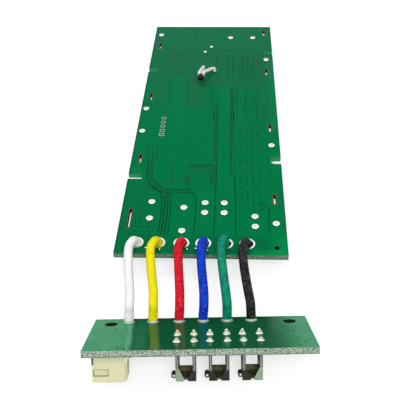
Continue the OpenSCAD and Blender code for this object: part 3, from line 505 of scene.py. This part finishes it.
def metal(name, dark, light, roughness, size=0.6, depth=0.02, strength=0.3, stretch=None,
          tarnish=None, metallic=1.0):
    """Metal with cloudy shade and roughness; tarnish names a colour that gathers in some of it."""
    f = Finish(name, metallic=metallic)
    cloud = f.noise(size, 3, 0.55, stretch=stretch)
    colour = f.blend(cloud, dark, light)
    if tarnish:
        colour = f.blend(f.rise(f.noise(size * 2.5, 3, 0.6), 0.5, 0.68) * 0.6, colour, tarnish)
    return f.paint(colour=colour, roughness=cloud * 0.15 + roughness,
                   normal=f.bump(f.noise(size * 0.5, 2, 0.5, stretch=stretch), strength, depth))


def moulded(name, shade, roughness, spread=0.12, size=0.5, depth=0.012, coat=0.0, lights=1.0, shine=0.5):
    """Moulded, glazed or fired body: a fine grain, and a shade that drifts a little."""
    f = Finish(name, coat_roughness=0.08, specular_ior_level=shine)
    dark = tuple(c * (1 - spread) for c in shade[:3]) + (1.0,)
    light = tuple(min(1.0, c * (1 + spread * lights)) for c in shade[:3]) + (1.0,)
    colour = f.blend(f.noise(size * 4, 3, 0.6), dark, light)
    return f.paint(colour=colour, roughness=f.noise(size, 2, 0.5) * 0.14 + roughness, coat=coat,
                   normal=f.bump(f.noise(size * 0.4, 3, 0.6), 0.3, depth))


def clip_sheet(name):
    """Tinned sheet: each leg is darker along its edges and wet with solder above the board. Painted shade
    makes the folded part speckled dark brown and its lips near black, and two of the six lips get a painted
    highlight."""
    f = Finish(name, metallic=1.0)
    u, v, h = term_places(f)
    cloud = f.noise(0.8, 3, 0.55, stretch=(0.3, 1, 1))
    worn = f.blend(cloud, rgb(108, 110, 100), rgb(156, 158, 146))
    sheet = f.blend(f.rise(leg_distance(u), 0.08 * MM, 0.34 * MM), worn, rgb(66, 68, 58))
    outer = spot(u, CLIP_X - CLIP_PITCH - 1.2, 1.25) + spot(u, CLIP_X + CLIP_PITCH + 1.2, 1.25)
    lip = 1 - f.rise(v, (LIP_EDGE - 0.03) * MM, (LIP_EDGE + 0.03) * MM)
    # Painted highlight on the lips of the two outer clips, where they face the light.
    lit_lips = outer * lip * (1 - f.rise(h, -5 * MM, -4.8 * MM))
    # Painted shade: the folded part under the board is speckled dark brown, and its lips are near black.
    painted_shade_share = (1 - f.rise(h, -5.5 * MM, -5.3 * MM)) * (1 - lit_lips)
    speckle = f.rise(f.noise(0.35, 3, 0.7), 0.36, 0.66)
    painted_shade = f.blend(speckle, f.blend(lip, rgb(60, 60, 38), rgb(20, 20, 14)),
                    f.blend(lip, rgb(138, 132, 92), rgb(26, 25, 20)))
    # Colour of the painted highlight on the two lit lips.
    painted_lit_lip = f.blend(cloud, rgb(108, 130, 108), rgb(158, 172, 152))
    colour = f.blend(painted_shade_share, f.blend(lit_lips, sheet, painted_lit_lip), painted_shade)
    soldered = f.rise(h, (BOARD_T - 0.02) * MM, BOARD_T * MM)
    cut_end = f.rise(h, (BOARD_T + 0.9) * MM, (BOARD_T + 0.93) * MM)
    colour = f.blend(cut_end * 0.8, f.blend(soldered, colour, rgb(222, 226, 208)), rgb(58, 52, 42))
    return f.paint(colour=colour, roughness=painted_shade_share * 0.3 + cloud * 0.15 + 0.3,
                   metallic=(1 - painted_shade_share * 0.7) * (1 - soldered * 0.6),
                   normal=f.bump(f.noise(0.4, 2, 0.5), 0.3, 0.02))


def socket_plastic(name):
    """Cream nylon, painted greener in the shade of the board, with painted shade round the sunk panel in
    its front.
    """
    f = Finish(name, roughness=0.4, specular_ior_level=0.3)
    u, v, h = term_places(f)

    def panel(edge):
        across = f.band(u, (PANEL[0] - edge) * MM, (PANEL[1] + edge) * MM, 0.05 * MM)
        return across * f.band(h, (PANEL[2] - edge) * MM, (PANEL[3] + edge) * MM, 0.05 * MM)

    cream = f.blend(f.noise(1.8, 3, 0.6), rgb(210, 208, 164), rgb(224, 218, 182))
    # Painted shade: greener towards the board's underside.
    cream = f.blend(f.rise(h, -2.2 * MM, -0.2 * MM) * 0.7, cream, rgb(184, 194, 148))
    front = 1 - f.rise(v, (SOCKET_FRONT - 0.05) * MM, (SOCKET_FRONT + 0.05) * MM)
    # Painted shade round the sunk panel.
    cream = f.blend(panel(0.14) * (1 - panel(-0.1)) * front, cream, rgb(160, 154, 108))
    return f.paint(colour=cream, normal=f.bump(f.noise(0.3, 3, 0.6), 0.3, 0.012))


def anchor_metal(name):
    """Anchors of the socket: the left one painted dark with shade, the right one tinned."""
    f = Finish(name, roughness=0.45)
    tinned = f.rise(term_places(f)[0], -21 * MM, -20 * MM)
    cloud = f.noise(0.5, 3, 0.6)
    # Painted shade on the left anchor.
    dark = f.blend(cloud, rgb(22, 22, 18), rgb(46, 46, 38))
    return f.paint(colour=f.blend(tinned, dark, rgb(204, 206, 186)), metallic=cloud * 0.2 + 0.3,
                   normal=f.bump(cloud, 0.3, 0.02))


def plated_slot(name):
    """Bare copper rim, browned, whose barrel inside the board is painted dark with shade."""
    f = Finish(name, metallic=0.4, specular_ior_level=0.3)
    _, _, z = f.parts(f.place())
    top = ORIGIN[2] + BOARD_T
    inside = f.band(z, (ORIGIN[2] + 0.01) * MM, (top - 0.04) * MM, 0.01 * MM)
    rim = f.blend(f.rise(f.noise(0.6, 3, 0.6), 0.4, 0.65), rgb(92, 74, 56), rgb(50, 46, 36))
    # Painted shade: the barrel inside the board is near black.
    return f.paint(colour=f.blend(inside, rim, rgb(34, 26, 24)), roughness=inside * 0.2 + 0.42,
                   normal=f.bump(f.noise(0.3, 2), 0.3, 0.02))


def silicone(name, shade, deep):
    """Silicone rubber: satin, with soft mottles, fine cross wrinkles and light flecks of painted highlight.
    """
    f = Finish(name, specular_ior_level=0.05)
    mottle = f.rise(f.noise(1.3, 3, 0.6, stretch=(1, 0.5, 0.5)), 0.3, 0.75)
    # Painted highlight: small light flecks that stand for glints on the rubber.
    glint_flecks = f.rise(f.noise(0.5, 2, 0.6), 0.57, 0.7)
    grain = f.noise(0.42, 3, 0.65, stretch=(0.7, 1, 1)) * 0.6 + mottle * 0.4
    # Lighter colour of the painted highlight flecks.
    pale = tuple(0.84 * c + 0.16 for c in shade[:3]) + (1.0,)
    return f.paint(colour=f.blend(glint_flecks * 0.7, f.blend(mottle, deep, shade), pale),
                   roughness=glint_flecks * 0.15 + mottle * 0.08 + 0.3, normal=f.bump(grain, 0.7, 0.13))


term_base = float(TERM_AXES[2] @ TERM_ORIGIN) * MM
MAIN_EDGE = (rgb(58, 92, 68), rgb(146, 176, 148), rgb(62, 84, 66), rgb(52, 66, 50))
TERM_EDGE = (rgb(84, 106, 90), rgb(192, 206, 188), rgb(82, 94, 80), rgb(78, 86, 72))

FINISHES = {
    "mask_main": laminate(
        "mask_main", (rgb(0, 109, 62), rgb(0, 117, 68), rgb(0, 124, 74)), MAIN_EDGE,
        ORIGIN[2] * MM, 0.36, main_height, main_artwork, main_bores),
    "mask_terminal": laminate(
        "mask_terminal", (rgb(20, 134, 84), rgb(34, 148, 98), rgb(44, 156, 106)), TERM_EDGE,
        term_base, 0.3, term_height, term_artwork, term_bores),
    "copper_rim": plated_slot("copper_rim"),
    "solder": metal("solder", rgb(218, 230, 220), rgb(240, 248, 242), 0.2, 0.7, 0.03),
    "silicone_white": silicone("silicone_white", rgb(246, 246, 249), rgb(236, 236, 240)),
    "silicone_yellow": silicone("silicone_yellow", rgb(244, 232, 4), rgb(230, 214, 0)),
    "silicone_red": silicone("silicone_red", rgb(222, 24, 44), rgb(194, 10, 30)),
    "silicone_blue": silicone("silicone_blue", rgb(12, 64, 208), rgb(4, 46, 172)),
    "silicone_green": silicone("silicone_green", rgb(6, 146, 112), rgb(0, 118, 90)),
    "silicone_black": silicone("silicone_black", rgb(42, 46, 46), rgb(20, 23, 23)),
    "epoxy_black": moulded("epoxy_black", rgb(9, 10, 11), 0.25, 0.3, 0.8, 0.02, 0.06, shine=0.15),
    "sleeve_white": moulded("sleeve_white", rgb(228, 230, 228), 0.4, 0.05, 0.6, lights=0.5),
    "tinned_sheet": clip_sheet("tinned_sheet"),
    "socket_cream": socket_plastic("socket_cream"),
    "socket_anchor": anchor_metal("socket_anchor"),
    "gold_contact": metal("gold_contact", rgb(196, 160, 86), rgb(232, 200, 128), 0.22, 0.4),
    "dark_metal": metal("dark_metal", rgb(44, 44, 46), rgb(74, 74, 76), 0.38, 0.5),
    "can_aluminium": metal("can_aluminium", rgb(196, 198, 202), rgb(226, 228, 230), 0.24, 0.9,
                           stretch=(1, 1, 0.15)),
    "black_plastic": moulded("black_plastic", rgb(40, 40, 43), 0.5, 0.18, 0.35, 0.02),
    "ring_tin": metal("ring_tin", rgb(104, 140, 116), rgb(160, 184, 166), 0.5, 0.4),
    "joint_solder": metal("joint_solder", rgb(212, 214, 196), rgb(240, 244, 228), 0.45, 0.5, 0.04, 0.6,
                          metallic=0.35),
    "foot_solder": metal("foot_solder", rgb(128, 142, 122), rgb(204, 212, 196), 0.45, 0.7, 0.05, 0.7,
                         metallic=0.35),
    "cut_wire": metal("cut_wire", rgb(168, 160, 150), rgb(204, 198, 188), 0.5, 0.3),
    "pin_tin": metal("pin_tin", rgb(188, 190, 192), rgb(222, 224, 226), 0.3, 0.4),
    "shunt_metal": metal("shunt_metal", rgb(110, 104, 98), rgb(150, 144, 136), 0.36, 0.6,
                         stretch=(0.2, 1, 1), tarnish=rgb(96, 74, 58)),
    "resistor_black": moulded("resistor_black", rgb(34, 34, 40), 0.28, 0.2, 0.5, coat=0.4),
    "fuse_ceramic": moulded("fuse_ceramic", rgb(226, 222, 210), 0.32, 0.06, 0.7, coat=0.3),
    "capacitor_tan": moulded("capacitor_tan", rgb(172, 150, 122), 0.42, 0.14, 0.4),
}
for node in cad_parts.values():
    for material_slot in node.material_slots:
        material_slot.material = FINISHES[material_slot.material.name.split(".")[0]]

for node, finish in (("header_hole_rings", "ring_tin"), ("socket_anchors", "socket_anchor")):
    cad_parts[node].material_slots[0].material = FINISHES[finish]


def under_mask(name, size, dark, light):
    """Copper edge or hole seen through the mask: a matt shade that drifts between two greens."""
    f = Finish(name, roughness=0.4, specular_ior_level=0.01)
    return f.paint(colour=f.blend(f.noise(size, 3, 0.6), dark, light),
                   normal=f.bump(f.noise(0.4, 2), 0.2, 0.01))


gap_finish = under_mask("artwork_gap", 3, rgb(0, 58, 32), rgb(6, 82, 50))
ridge_finish = under_mask("artwork_ridge", 2, rgb(4, 82, 52), rgb(28, 88, 60))
band_finish = under_mask("artwork_band", 0.8, rgb(0, 94, 56), rgb(24, 98, 64))
via_finish = under_mask("artwork_via", 1, rgb(0, 76, 44), rgb(4, 92, 58))
opening_finish = under_mask("mask_opening", 1.2, rgb(0, 40, 22), rgb(6, 62, 38))

# ---- leads ----

LEAD_D = 2.4
LEAD_FIRST, LEAD_PITCH = -18.3, 6.1  # first lead from the middle of the board, and the next from it
LEAD_STEP = 0.6  # the last four stand this much further right
LEAD_IN = 4.5  # lead holes from the near edge of the control board
LEAD_LOW = -0.4  # start of a lead, under the board
LEAD_RISE = 1.9  # axis of a lead over the board's top where it crosses the near edge
HOOK_R = 2.2
CROWN = 0.25  # how far a lead rises over the straight line across the gap
TURN_H = 4.2  # height over the terminal board's joints at which a lead turns down
LEAD_BACK = 2.6  # joints on the terminal board from its low edge
JOINT_SHIFT = 0.15
FOOT_H = 0.5
LEAVE = TERM_AXES[2]
COLOURS = ["white", "yellow", "red", "blue", "green", "black"]
LEAN = [0.45, 0.45, 0.4, 0.4, 0.1, 0.1]  # sideways shift of each lead in its hole
# Sideways bow of each lead at the near edge, at a third and at four fifths of its way across
BOW = [[-1.4, -1, 0], [-1.5, -1.05, 0], [-0.7, -0.4, 0.1], [-0.6, -0.4, 0.2], [-1.25, -1, -0.3],
       [-1.45, -1.35, -0.6]]
HOOK_UP = [0, 0, -0.1, 0.1, 1, 0]  # how much higher each hook stands


def lead_route(i):
    """Points of one lead: up out of its hole, over in a hook of the given radius to the near edge,
    across the gap along a straight line that bows a little, and down square to the terminal board."""
    x = LEAD_FIRST + LEAD_PITCH * i + (LEAD_STEP if i > 1 else 0)
    seat = term_point(x + JOINT_SHIFT, LEAD_BACK, BOARD_T + FOOT_H) - ORIGIN
    foot = np.array([x + LEAN[i], LEAD_IN + 0.1, LEAD_LOW])
    start = np.array([x + (seat[0] - x) * LEAD_IN / (LEAD_IN - seat[1]), 0,
                      BOARD_T + LEAD_RISE + HOOK_UP[i] * 0.7])
    over = seat + TURN_H * LEAVE

    def run(t, side):
        return start + t * (over - start) + np.array([side, 0, CROWN if 0 < t < 1 else 0])

    edge = run(0, BOW[i][0])
    bend = np.radians([15, 45, 80])
    hook = np.stack([foot[0] + (edge[0] - foot[0]) * 0.65 * np.degrees(bend) / 80,
                     foot[1] - HOOK_R * (1 - np.cos(bend)),
                     BOARD_T + LEAD_RISE + HOOK_UP[i] - HOOK_R * (1 - np.sin(bend))], -1)
    rows = [foot, foot + 0.6 * Z, foot + 1.2 * Z, *hook, edge,
            run(0.35, BOW[i][1]), run(0.8, BOW[i][2]), run(1, BOW[i][2] / 2 + 0.15),
            seat + 2.2 * LEAVE + (BOW[i][2] / 4 + 0.1) * X, seat + 1.1 * LEAVE, seat + 0.5 * LEAVE, seat]
    return np.array(rows) + ORIGIN


for i, colour in enumerate(COLOURS):
    path = curve(lead_route(i), 8)
    piece("lead_jacket_" + colour, [tube(path, LEAD_D / 2, 32)], FINISHES["silicone_" + colour],
          ["lead_" + colour])

# ---- sensor ----

BEAD_AT = np.array([-3.5, 91.9, BOARD_T + 2.9])
SLEEVE_R = 0.65
# Each sleeve: its hole, how far beside the bead's middle it ends, and its turns from the hole
SENSOR = [
    ([-2.9, 103.5], -0.55,
     [[0, 0, 0.2], [0, -0.04, 0.5], [0, -0.25, 0.85], [-0.03, -0.65, 1.08], [-0.1, -1.3, 1.28],
      [-0.2, -2.3, 1.6], [-0.35, -3.5, 1.95], [-0.6, -5.1, 2.4], [-0.95, -6.8, 2.78]]),
    ([1.4, 102.3], 0.85,
     [[0, 0, 0.2], [-0.03, -0.03, 0.5], [-0.2, -0.18, 0.82], [-0.5, -0.45, 1.02], [-0.95, -0.95, 1.2],
      [-1.5, -1.8, 1.46], [-2.1, -3, 1.85], [-2.8, -4.5, 2.3], [-3.6, -5.8, 2.68]]),
]
sleeves = []
for hole, side, turns in SENSOR:
    end = BEAD_AT + np.array([side, 1.4, 0])
    rows = [np.array([*hole, BOARD_T]) + t for t in turns] + [end + back * Y for back in (2, 1, 0)]
    sleeves.append(tube(curve(rows, 8) + ORIGIN, SLEEVE_R, 20))
piece("sensor_sleeving", sleeves, FINISHES["sleeve_white"], ["sensor_sleeves"])

# ---- solder ----


def dimpled(low, high):
    """Soldered pad: a flat-topped dome, height h * sqrt(1 - (r / R)^4), with a soft pit at its middle
    where the wire was cut."""
    base, radius, h = (low + high) / 2, (high[0] - low[0]) / 2, high[2] - low[2]
    base[2] = low[2]
    r = radius * np.sin(np.linspace(0, np.pi / 2, 11))
    up = h * np.sqrt(1 - (r / radius) ** 4) - 0.2 * h * np.exp(-((r / (0.2 * radius)) ** 2))
    profile = np.vstack([[0, 0], np.stack([r[::-1], up[::-1]], -1)])
    profile[-1, 0] = 0
    return turned(profile, base + ORIGIN, sides=28)


def fillet(low, high, turn):
    """Joint round a clip leg: a hollow side under a rounded tip. Its radius at the share t of its
    height is R * (1 - 0.9 * t^0.75) + 0.2 * t * sqrt(1 - t^2), and it swells by
    0.1 * cos(3 * angle + turn). The far row is taller than the near one."""
    base, radius = (low + high) / 2, (high[0] - low[0]) / 2 * 0.92
    tall = (1.2 if base[1] > -16 else 1) * (1 + 0.12 * math.sin(5 * turn))
    t = np.linspace(0, 1, 12) ** 1.4
    r = radius * (1 - 0.9 * t**0.75) + 0.2 * np.sqrt(1 - t**2) * t
    profile = np.vstack([[0, 0], np.stack([r, t * tall], -1), [0, tall + 0.02]])
    at = TERM_ORIGIN + base[0] * TERM_AXES[0] + base[1] * TERM_AXES[1] + low[2] * TERM_AXES[2]
    around = np.linspace(0, 2 * np.pi, 28, endpoint=False)
    return turned(profile, at, TERM_AXES, 28, 1 + 0.1 * np.cos(3 * around + turn))


def lead_fillet(low, high):
    """Joint round the foot of a lead: a low skirt whose radius at the share t of its height is
    r + (R - r) * (1 - t^0.5), from the solder's edge R to r, just inside the lead."""
    base, radius = (low + high) / 2, (high[0] - low[0]) / 2
    t = np.linspace(0, 1, 8)
    r = LEAD_D / 2 - 0.05 + (radius - LEAD_D / 2 + 0.05) * (1 - t**0.5)
    profile = np.vstack([[0, 0], np.stack([r, t * FOOT_H], -1), [0, FOOT_H]])
    at = TERM_ORIGIN + base[0] * TERM_AXES[0] + base[1] * TERM_AXES[1] + low[2] * TERM_AXES[2]
    return turned(profile, at, TERM_AXES, 32)


def cut_end(low, high):
    """Cut end of a wire in the middle of its pad: a low dome, height 0.07 * sqrt(1 - (r / R)^2)."""
    base = (low + high) / 2
    base[2] = high[2] - 0.05
    r = 0.27 * (high[0] - low[0]) / 2 * np.sin(np.linspace(np.pi / 2, 0, 5))
    profile = np.vstack([[0, 0], np.stack([r, 0.07 * np.sqrt(1 - (r / r[0]) ** 2)], -1)])
    return turned(profile, base + ORIGIN, sides=14)


pads = solids("solder_pads", ORIGIN, MAIN_AXES)
piece("pad_solder", [dimpled(*box) for box in pads], FINISHES["solder"], ["solder_pads"])
piece("pad_wire_ends", [cut_end(*box) for box in pads if box[1][0] - box[0][0] > 1],
      FINISHES["cut_wire"])
joints = solids("clip_solder", TERM_ORIGIN, TERM_AXES)
piece("clip_joints", [fillet(*box, 1.9 * k) for k, box in enumerate(joints)],
      FINISHES["joint_solder"], ["clip_solder"])
feet = solids("lead_feet", TERM_ORIGIN, TERM_AXES)
piece("lead_joints", [lead_fillet(*box) for box in feet], FINISHES["foot_solder"], ["lead_feet"])

# ---- the folded bottoms of the clips ----


def slab(low, high):
    """Flat sheet between two corners, given along the terminal board's axes."""
    flat = np.array([[low[0], low[1]], [high[0], low[1]], [high[0], high[1]], [low[0], high[1]]])
    rings = np.stack([np.column_stack([flat, np.full(4, h)]) for h in (low[2], high[2])]) @ TERM_AXES
    rings = rings + TERM_ORIGIN
    return outward(*skin(rings, poles=rings.mean(1)))


def rolled_core(u):
    """Bright end of the rolled lip on a clip's left: a short disc that shuts its mouth."""
    ends = np.array([[u, v, ROLL_H] for v in (-18.95, -19.07)])
    return tube(TERM_ORIGIN + ends @ TERM_AXES, 0.27, 16)


FOLD_HALF = 1.58  # half the width of a clip's floor
ROLL_OUT, ROLL_H = 2.85, -6.5  # rolled lip from the middle of its clip, and under the board
middles = [CLIP_X + k * CLIP_PITCH for k in (-1, 0, 1)]
# These floors take the painted shade of the folded part from the tinned sheet's finish.
piece("clip_floors",
      [slab((u - FOLD_HALF, -18.28, -7.86), (u + FOLD_HALF, -13.6, -7.45)) for u in middles],
      FINISHES["tinned_sheet"], smooth=False)
piece("lip_cores", [rolled_core(u - ROLL_OUT) for u in middles], FINISHES["joint_solder"])

# ---- linings of the tab slots ----

SLOT_R = 0.5
# Section of a lining, out from the slot's wall and up from the board's top
# Each lining reaches 0.17 into its slot, and its barrel carries painted shade, which narrows the floor seen
# through the slot.
LINING = np.array([[-0.17, -BOARD_T - 0.03], [0.15, -BOARD_T - 0.03], [0.15, 0.03], [-0.17, 0.03]])
linings = []
for low, high in solids("tab_slot_rims", ORIGIN, MAIN_AXES):
    across, along, _ = high - low
    centre = np.array([*((low + high) / 2)[:2], BOARD_T]) + ORIGIN
    linings.append(hoop(centre, along - across, SLOT_R, LINING))
piece("tab_slot_linings", linings, FINISHES["copper_rim"], ["tab_slot_rims"])

# ---- artwork under the mask ----

ON_MASK = ORIGIN[2] + BOARD_T


def tracks(name, lines, width, finish, high=0.02):
    """Flat ribbons along lines given in millimetres from the middle of the near edge, one piece."""
    skins = [ribbon(np.array(line) + ORIGIN[:2], width, ON_MASK - 0.01, ON_MASK + high) for line in lines]
    piece(name, skins, finish, smooth=False)


tracks("artwork_gaps", [
    [(3.5, 40.8), (3.5, 22.5), (3.4, 8.2)], [(8, 52), (8, 37), (9.2, 35.2), (9.5, 22.6), (9.6, 8.3)],
    [(-18.7, 44.2), (-17.9, 33.3), (-16.7, 30.5), (-13.4, 27.4), (-12.6, 24.4), (-12.2, 16.9),
     (-12.4, 7.9)],
    [(-16.4, 33.9), (-13.2, 29.3), (-11.1, 28.3), (-4.4, 28.5), (-2.4, 25.6), (-2.1, 17.1), (-2.3, 8.1)],
    [(-17.3, 31), (-13.8, 27.4), (-10.9, 26.5), (-9.5, 26.5), (-4.4, 27.2), (-2.9, 25.4)],
    [(-11.8, 25.5), (-11.5, 16.9), (-11.5, 7.9)], [(-10.7, 25.8), (-10.4, 17), (-10.5, 7.9)],
    [(-9.9, 26.3), (-9.5, 17), (-9.6, 8)], [(17, 22.2), (19.3, 20.1), (19.1, 9.5)],
], 0.36, gap_finish)
tracks("artwork_ridges", [
    [(3, 73.5), (3.5, 52.3), (3.5, 40.8)], [(1.8, 73.5), (2.4, 52.3), (2.6, 43.3)],
    [(7.7, 73.6), (7.9, 52.4)], [(8.8, 73.6), (8.9, 52.4), (9, 37.3)],
    [(-5, 39.8), (-2.5, 41.4), (1.5, 41.7), (2.7, 43.9)], [(-3.9, 40.1), (3, 40.3)],
    [(-6.3, 30.1), (-6.2, 35.9), (-4.9, 38.2), (-1.3, 38.8), (3.1, 38.9)],
    [(-4.9, 28.4), (-4.7, 33.5), (-3.9, 36.8), (1.6, 37.2), (2, 30.8)], [(2.8, 38.4), (2.9, 30.8)],
    [(-11.4, 42.5), (-10.6, 33.4), (-9.1, 30.6)], [(-10.4, 42.5), (-9.8, 32.3), (-7.7, 31.2)],
    [(-19.4, 52.6), (-18.7, 44.2)], [(-16.7, 52.7), (-15.7, 43), (-16.7, 40.5), (-16.4, 33.9)],
    [(-17.8, 52), (-16.9, 41.8)], [(2.9, 119.2), (18, 119.2)], [(3.3, 117.6), (18, 117.7)],
    [(-17.1, 116.3), (-9.7, 115.9)], [(-13.5, 99.8), (-8.9, 101.4)], [(1.7, 115.5), (2.1, 96.8)],
    [(6.6, 115.5), (6.8, 96.8)], [(8.4, 115.5), (8.5, 96.8)], [(12.3, 115.6), (12.2, 96.8)],
    [(14.3, 115.6), (14.1, 96.8)], [(16.3, 115.6), (16, 96.9)], [(-8.7, 96.7), (-7.8, 80.4), (-5.4, 76.3)],
    [(0.8, 89.9), (1.1, 79.1), (2.1, 67)], [(7.8, 90), (7.9, 67.1)], [(8.8, 90), (8.9, 67.1)],
    [(10, 90), (10, 67.1)], [(13.2, 89.3), (13.1, 72.4)], [(17, 89.3), (16.7, 67.2)],
    [(-17.7, 93.5), (-15.2, 93.5), (-14.2, 79)], [(0.6, 137), (8, 137)], [(-7.1, 133), (-7, 128.7)],
], 0.34, ridge_finish, 0.012)
tracks("artwork_bands", [
    [(-17.2, 47), (-17.4, 41), (-17.2, 34.5), (-15, 29.4), (-11.3, 27.2), (-11, 16.9), (-11, 8)],
    [(-11, 27.4), (-5, 27.8)], [(2.9, 79), (3, 43.4)], [(8.4, 90), (8.3, 73), (8.4, 52)],
    [(-4.6, 40.7), (2.7, 40.9)], [(2.2, 37.8), (2.4, 31)], [(-5.5, 36), (-5.4, 30)],
], 1.3, band_finish, 0.006)

# Plugged holes: a column grid on the right and one in the near left corner, both with gaps in them,
# and some that stand alone
VIAS = [(x, y)
        for i, x in enumerate((11.2, 13.1, 14.9, 16.8)) for j, y in enumerate(np.arange(19, 62, 1.75))
        if (7 * i + 3 * j + i * j) % 5 > 1]
VIAS += [(x, y)
         for i, x in enumerate((-19.2, -17.9, -16.6, -15.2)) for j, y in enumerate(np.arange(7.4, 20, 1.8))
         if (3 * i + 2 * j) % 4 and abs(x + 15.4) + abs(y - 15) > 2]
VIAS += [(-8.4, 54), (-7.1, 53.2), (-8.8, 50.4), (-7.4, 49.2), (-6.2, 50.8), (-7, 46.4), (-8.6, 45.2),
         (-5.4, 45), (-7.2, 24.6), (-6, 24.4), (-4.2, 65.7), (19.8, 116.1), (-1.8, 57), (20.5, 37)]
LENS = np.array([[0, -0.01], [0.28, -0.01], [0.3, 0.01], [0.16, 0.035], [0, 0.01]])
piece("tented_vias", [turned(LENS, np.array([x, y, BOARD_T]) + ORIGIN, sides=12) for x, y in VIAS],
      via_finish)

LIP = np.array([[-0.05, -0.01], [0.2, -0.01], [0.17, 0.02], [-0.05, 0.02]])
piece("mask_openings", [
    hoop(np.array([*((low + high) / 2)[:2], BOARD_T]) + ORIGIN, 0, (high[0] - low[0]) / 2, LIP, 28)
    for low, high in pads if low[2] > BOARD_T - 0.5
], opening_finish)

TERM_VIAS = [(-20.7, 8.5), (-17.6, 10.6), (-18.9, 22.4), (-17.5, 22.5), (-16.2, 22.4), (20.6, 8.6),
             (22.5, 12), (19.4, 14.5), (23, 17), (17.8, 18), (24.2, 20.5), (16.8, 12.4)]
piece("terminal_vias", [
    turned(LENS, TERM_ORIGIN + np.array([u, -v, BOARD_T]) @ TERM_AXES, TERM_AXES, 12) for u, v in TERM_VIAS
], gap_finish)

# ---- stage ----

CAMERA_AT = (0.006768, -0.189062, 0.140970)
CAMERA_TURN = (-3.112, 39.201, -1.309)  # heading from +Y, pitch below level, and roll, in degrees
camera_data = bpy.data.cameras.new("camera")
camera_data.lens = 63.89
camera_data.sensor_width = 36.0
camera = bpy.data.objects.new("camera", camera_data)
heading, pitch, roll = (math.radians(angle) for angle in CAMERA_TURN)
forward = math.cos(pitch)
ahead = np.array([math.sin(heading) * forward, math.cos(heading) * forward, -math.sin(pitch)])
level = np.array([math.cos(heading), -math.sin(heading), 0])
upright = np.cross(level, ahead)
right = level * math.cos(roll) + upright * math.sin(roll)
up = upright * math.cos(roll) - level * math.sin(roll)
turn = Matrix(np.stack([right, up, -ahead], -1).tolist()).to_4x4()
camera.matrix_world = Matrix.Translation(CAMERA_AT) @ turn
bpy.context.scene.collection.objects.link(camera)
bpy.context.scene.camera = camera

RAYS = ("Is Camera Ray", "Is Glossy Ray", "Is Transmission Ray")


def seen(nodes):
    """1 for what the camera sees directly, in a mirror or through glass, and 0 for other rays."""
    rays = [nodes.node("ShaderNodeLightPath", output=name) for name in RAYS]
    return (rays[0] + rays[1] + rays[2]).limited()


def floor_light(f):
    """How far the floor shines by itself for the camera, for mirrors and through glass; and how far a
    mirror sees the shade between the boards and under them, where the floor doesn't shine."""
    x, y, _ = f.parts(f.place())
    shade = f.band(x, (ORIGIN[0] - 18) * MM, (ORIGIN[0] + 19) * MM, 1.5 * MM)
    shade = shade * f.band(y, (ORIGIN[1] - BOARD_GAP - 12) * MM, (ORIGIN[1] + MAIN_L) * MM, 2 * MM)
    camera, glossy, through = (f.node("ShaderNodeLightPath", output=name) for name in RAYS)
    return (camera + through + glossy * (1 - shade)).limited(), shade * glossy


world = bpy.data.worlds.new("studio")
world.use_nodes = True
bpy.context.scene.world = world
sky = Nodes(world.node_tree, "ShaderNodeBackground", "ShaderNodeOutputWorld")
sky.feed(sky.shader, "Color", (1.0, 1.0, 1.0, 1.0))
SKY = 0.5
sky.feed(sky.shader, "Strength", seen(sky) * (1 - SKY) + SKY)

PALE, SHADE = (0.5, 0.5, 0.5, 1.0), (0.02, 0.03, 0.02, 1.0)
NO_GLOW, GLOW = (0.0, 0.0, 0.0, 1.0), (0.66, 0.66, 0.66, 1.0)
FLOOR_HALF = 3.0
floor_finish = Finish("floor", roughness=0.9, specular_ior_level=0.0, emission_strength=1.0)
floor_glow, floor_shade = floor_light(floor_finish)
floor_finish.paint(colour=floor_finish.blend(floor_shade, PALE, SHADE),
                   glow=floor_finish.blend(floor_glow, NO_GLOW, GLOW))
floor_mesh = bpy.data.meshes.new("floor")
sides = ((-1, -1), (1, -1), (1, 1), (-1, 1))
floor_mesh.from_pydata([(x * FLOOR_HALF, y * FLOOR_HALF, 0) for x, y in sides], [], [(0, 1, 2, 3)])
floor_mesh.materials.append(floor_finish.material)
floor = bpy.data.objects.new("floor", floor_mesh)
bpy.context.scene.collection.objects.link(floor)


def softbox(name, place, size, power):
    """Square area lamp that faces the middle of the table."""
    data = bpy.data.lights.new(name, "AREA")
    data.size, data.energy = size, power
    lamp = bpy.data.objects.new(name, data)
    lamp.rotation_euler = (-Vector(place)).to_track_quat("-Z", "Y").to_euler()
    lamp.location = place
    bpy.context.scene.collection.objects.link(lamp)


softbox("softbox_top", (-0.2, 0.14, 0.62), 0.28, 1.1)
softbox("softbox_front", (0.1, -0.55, 0.55), 0.35, 3.0)

bpy.context.scene.view_settings.view_transform = "Standard"
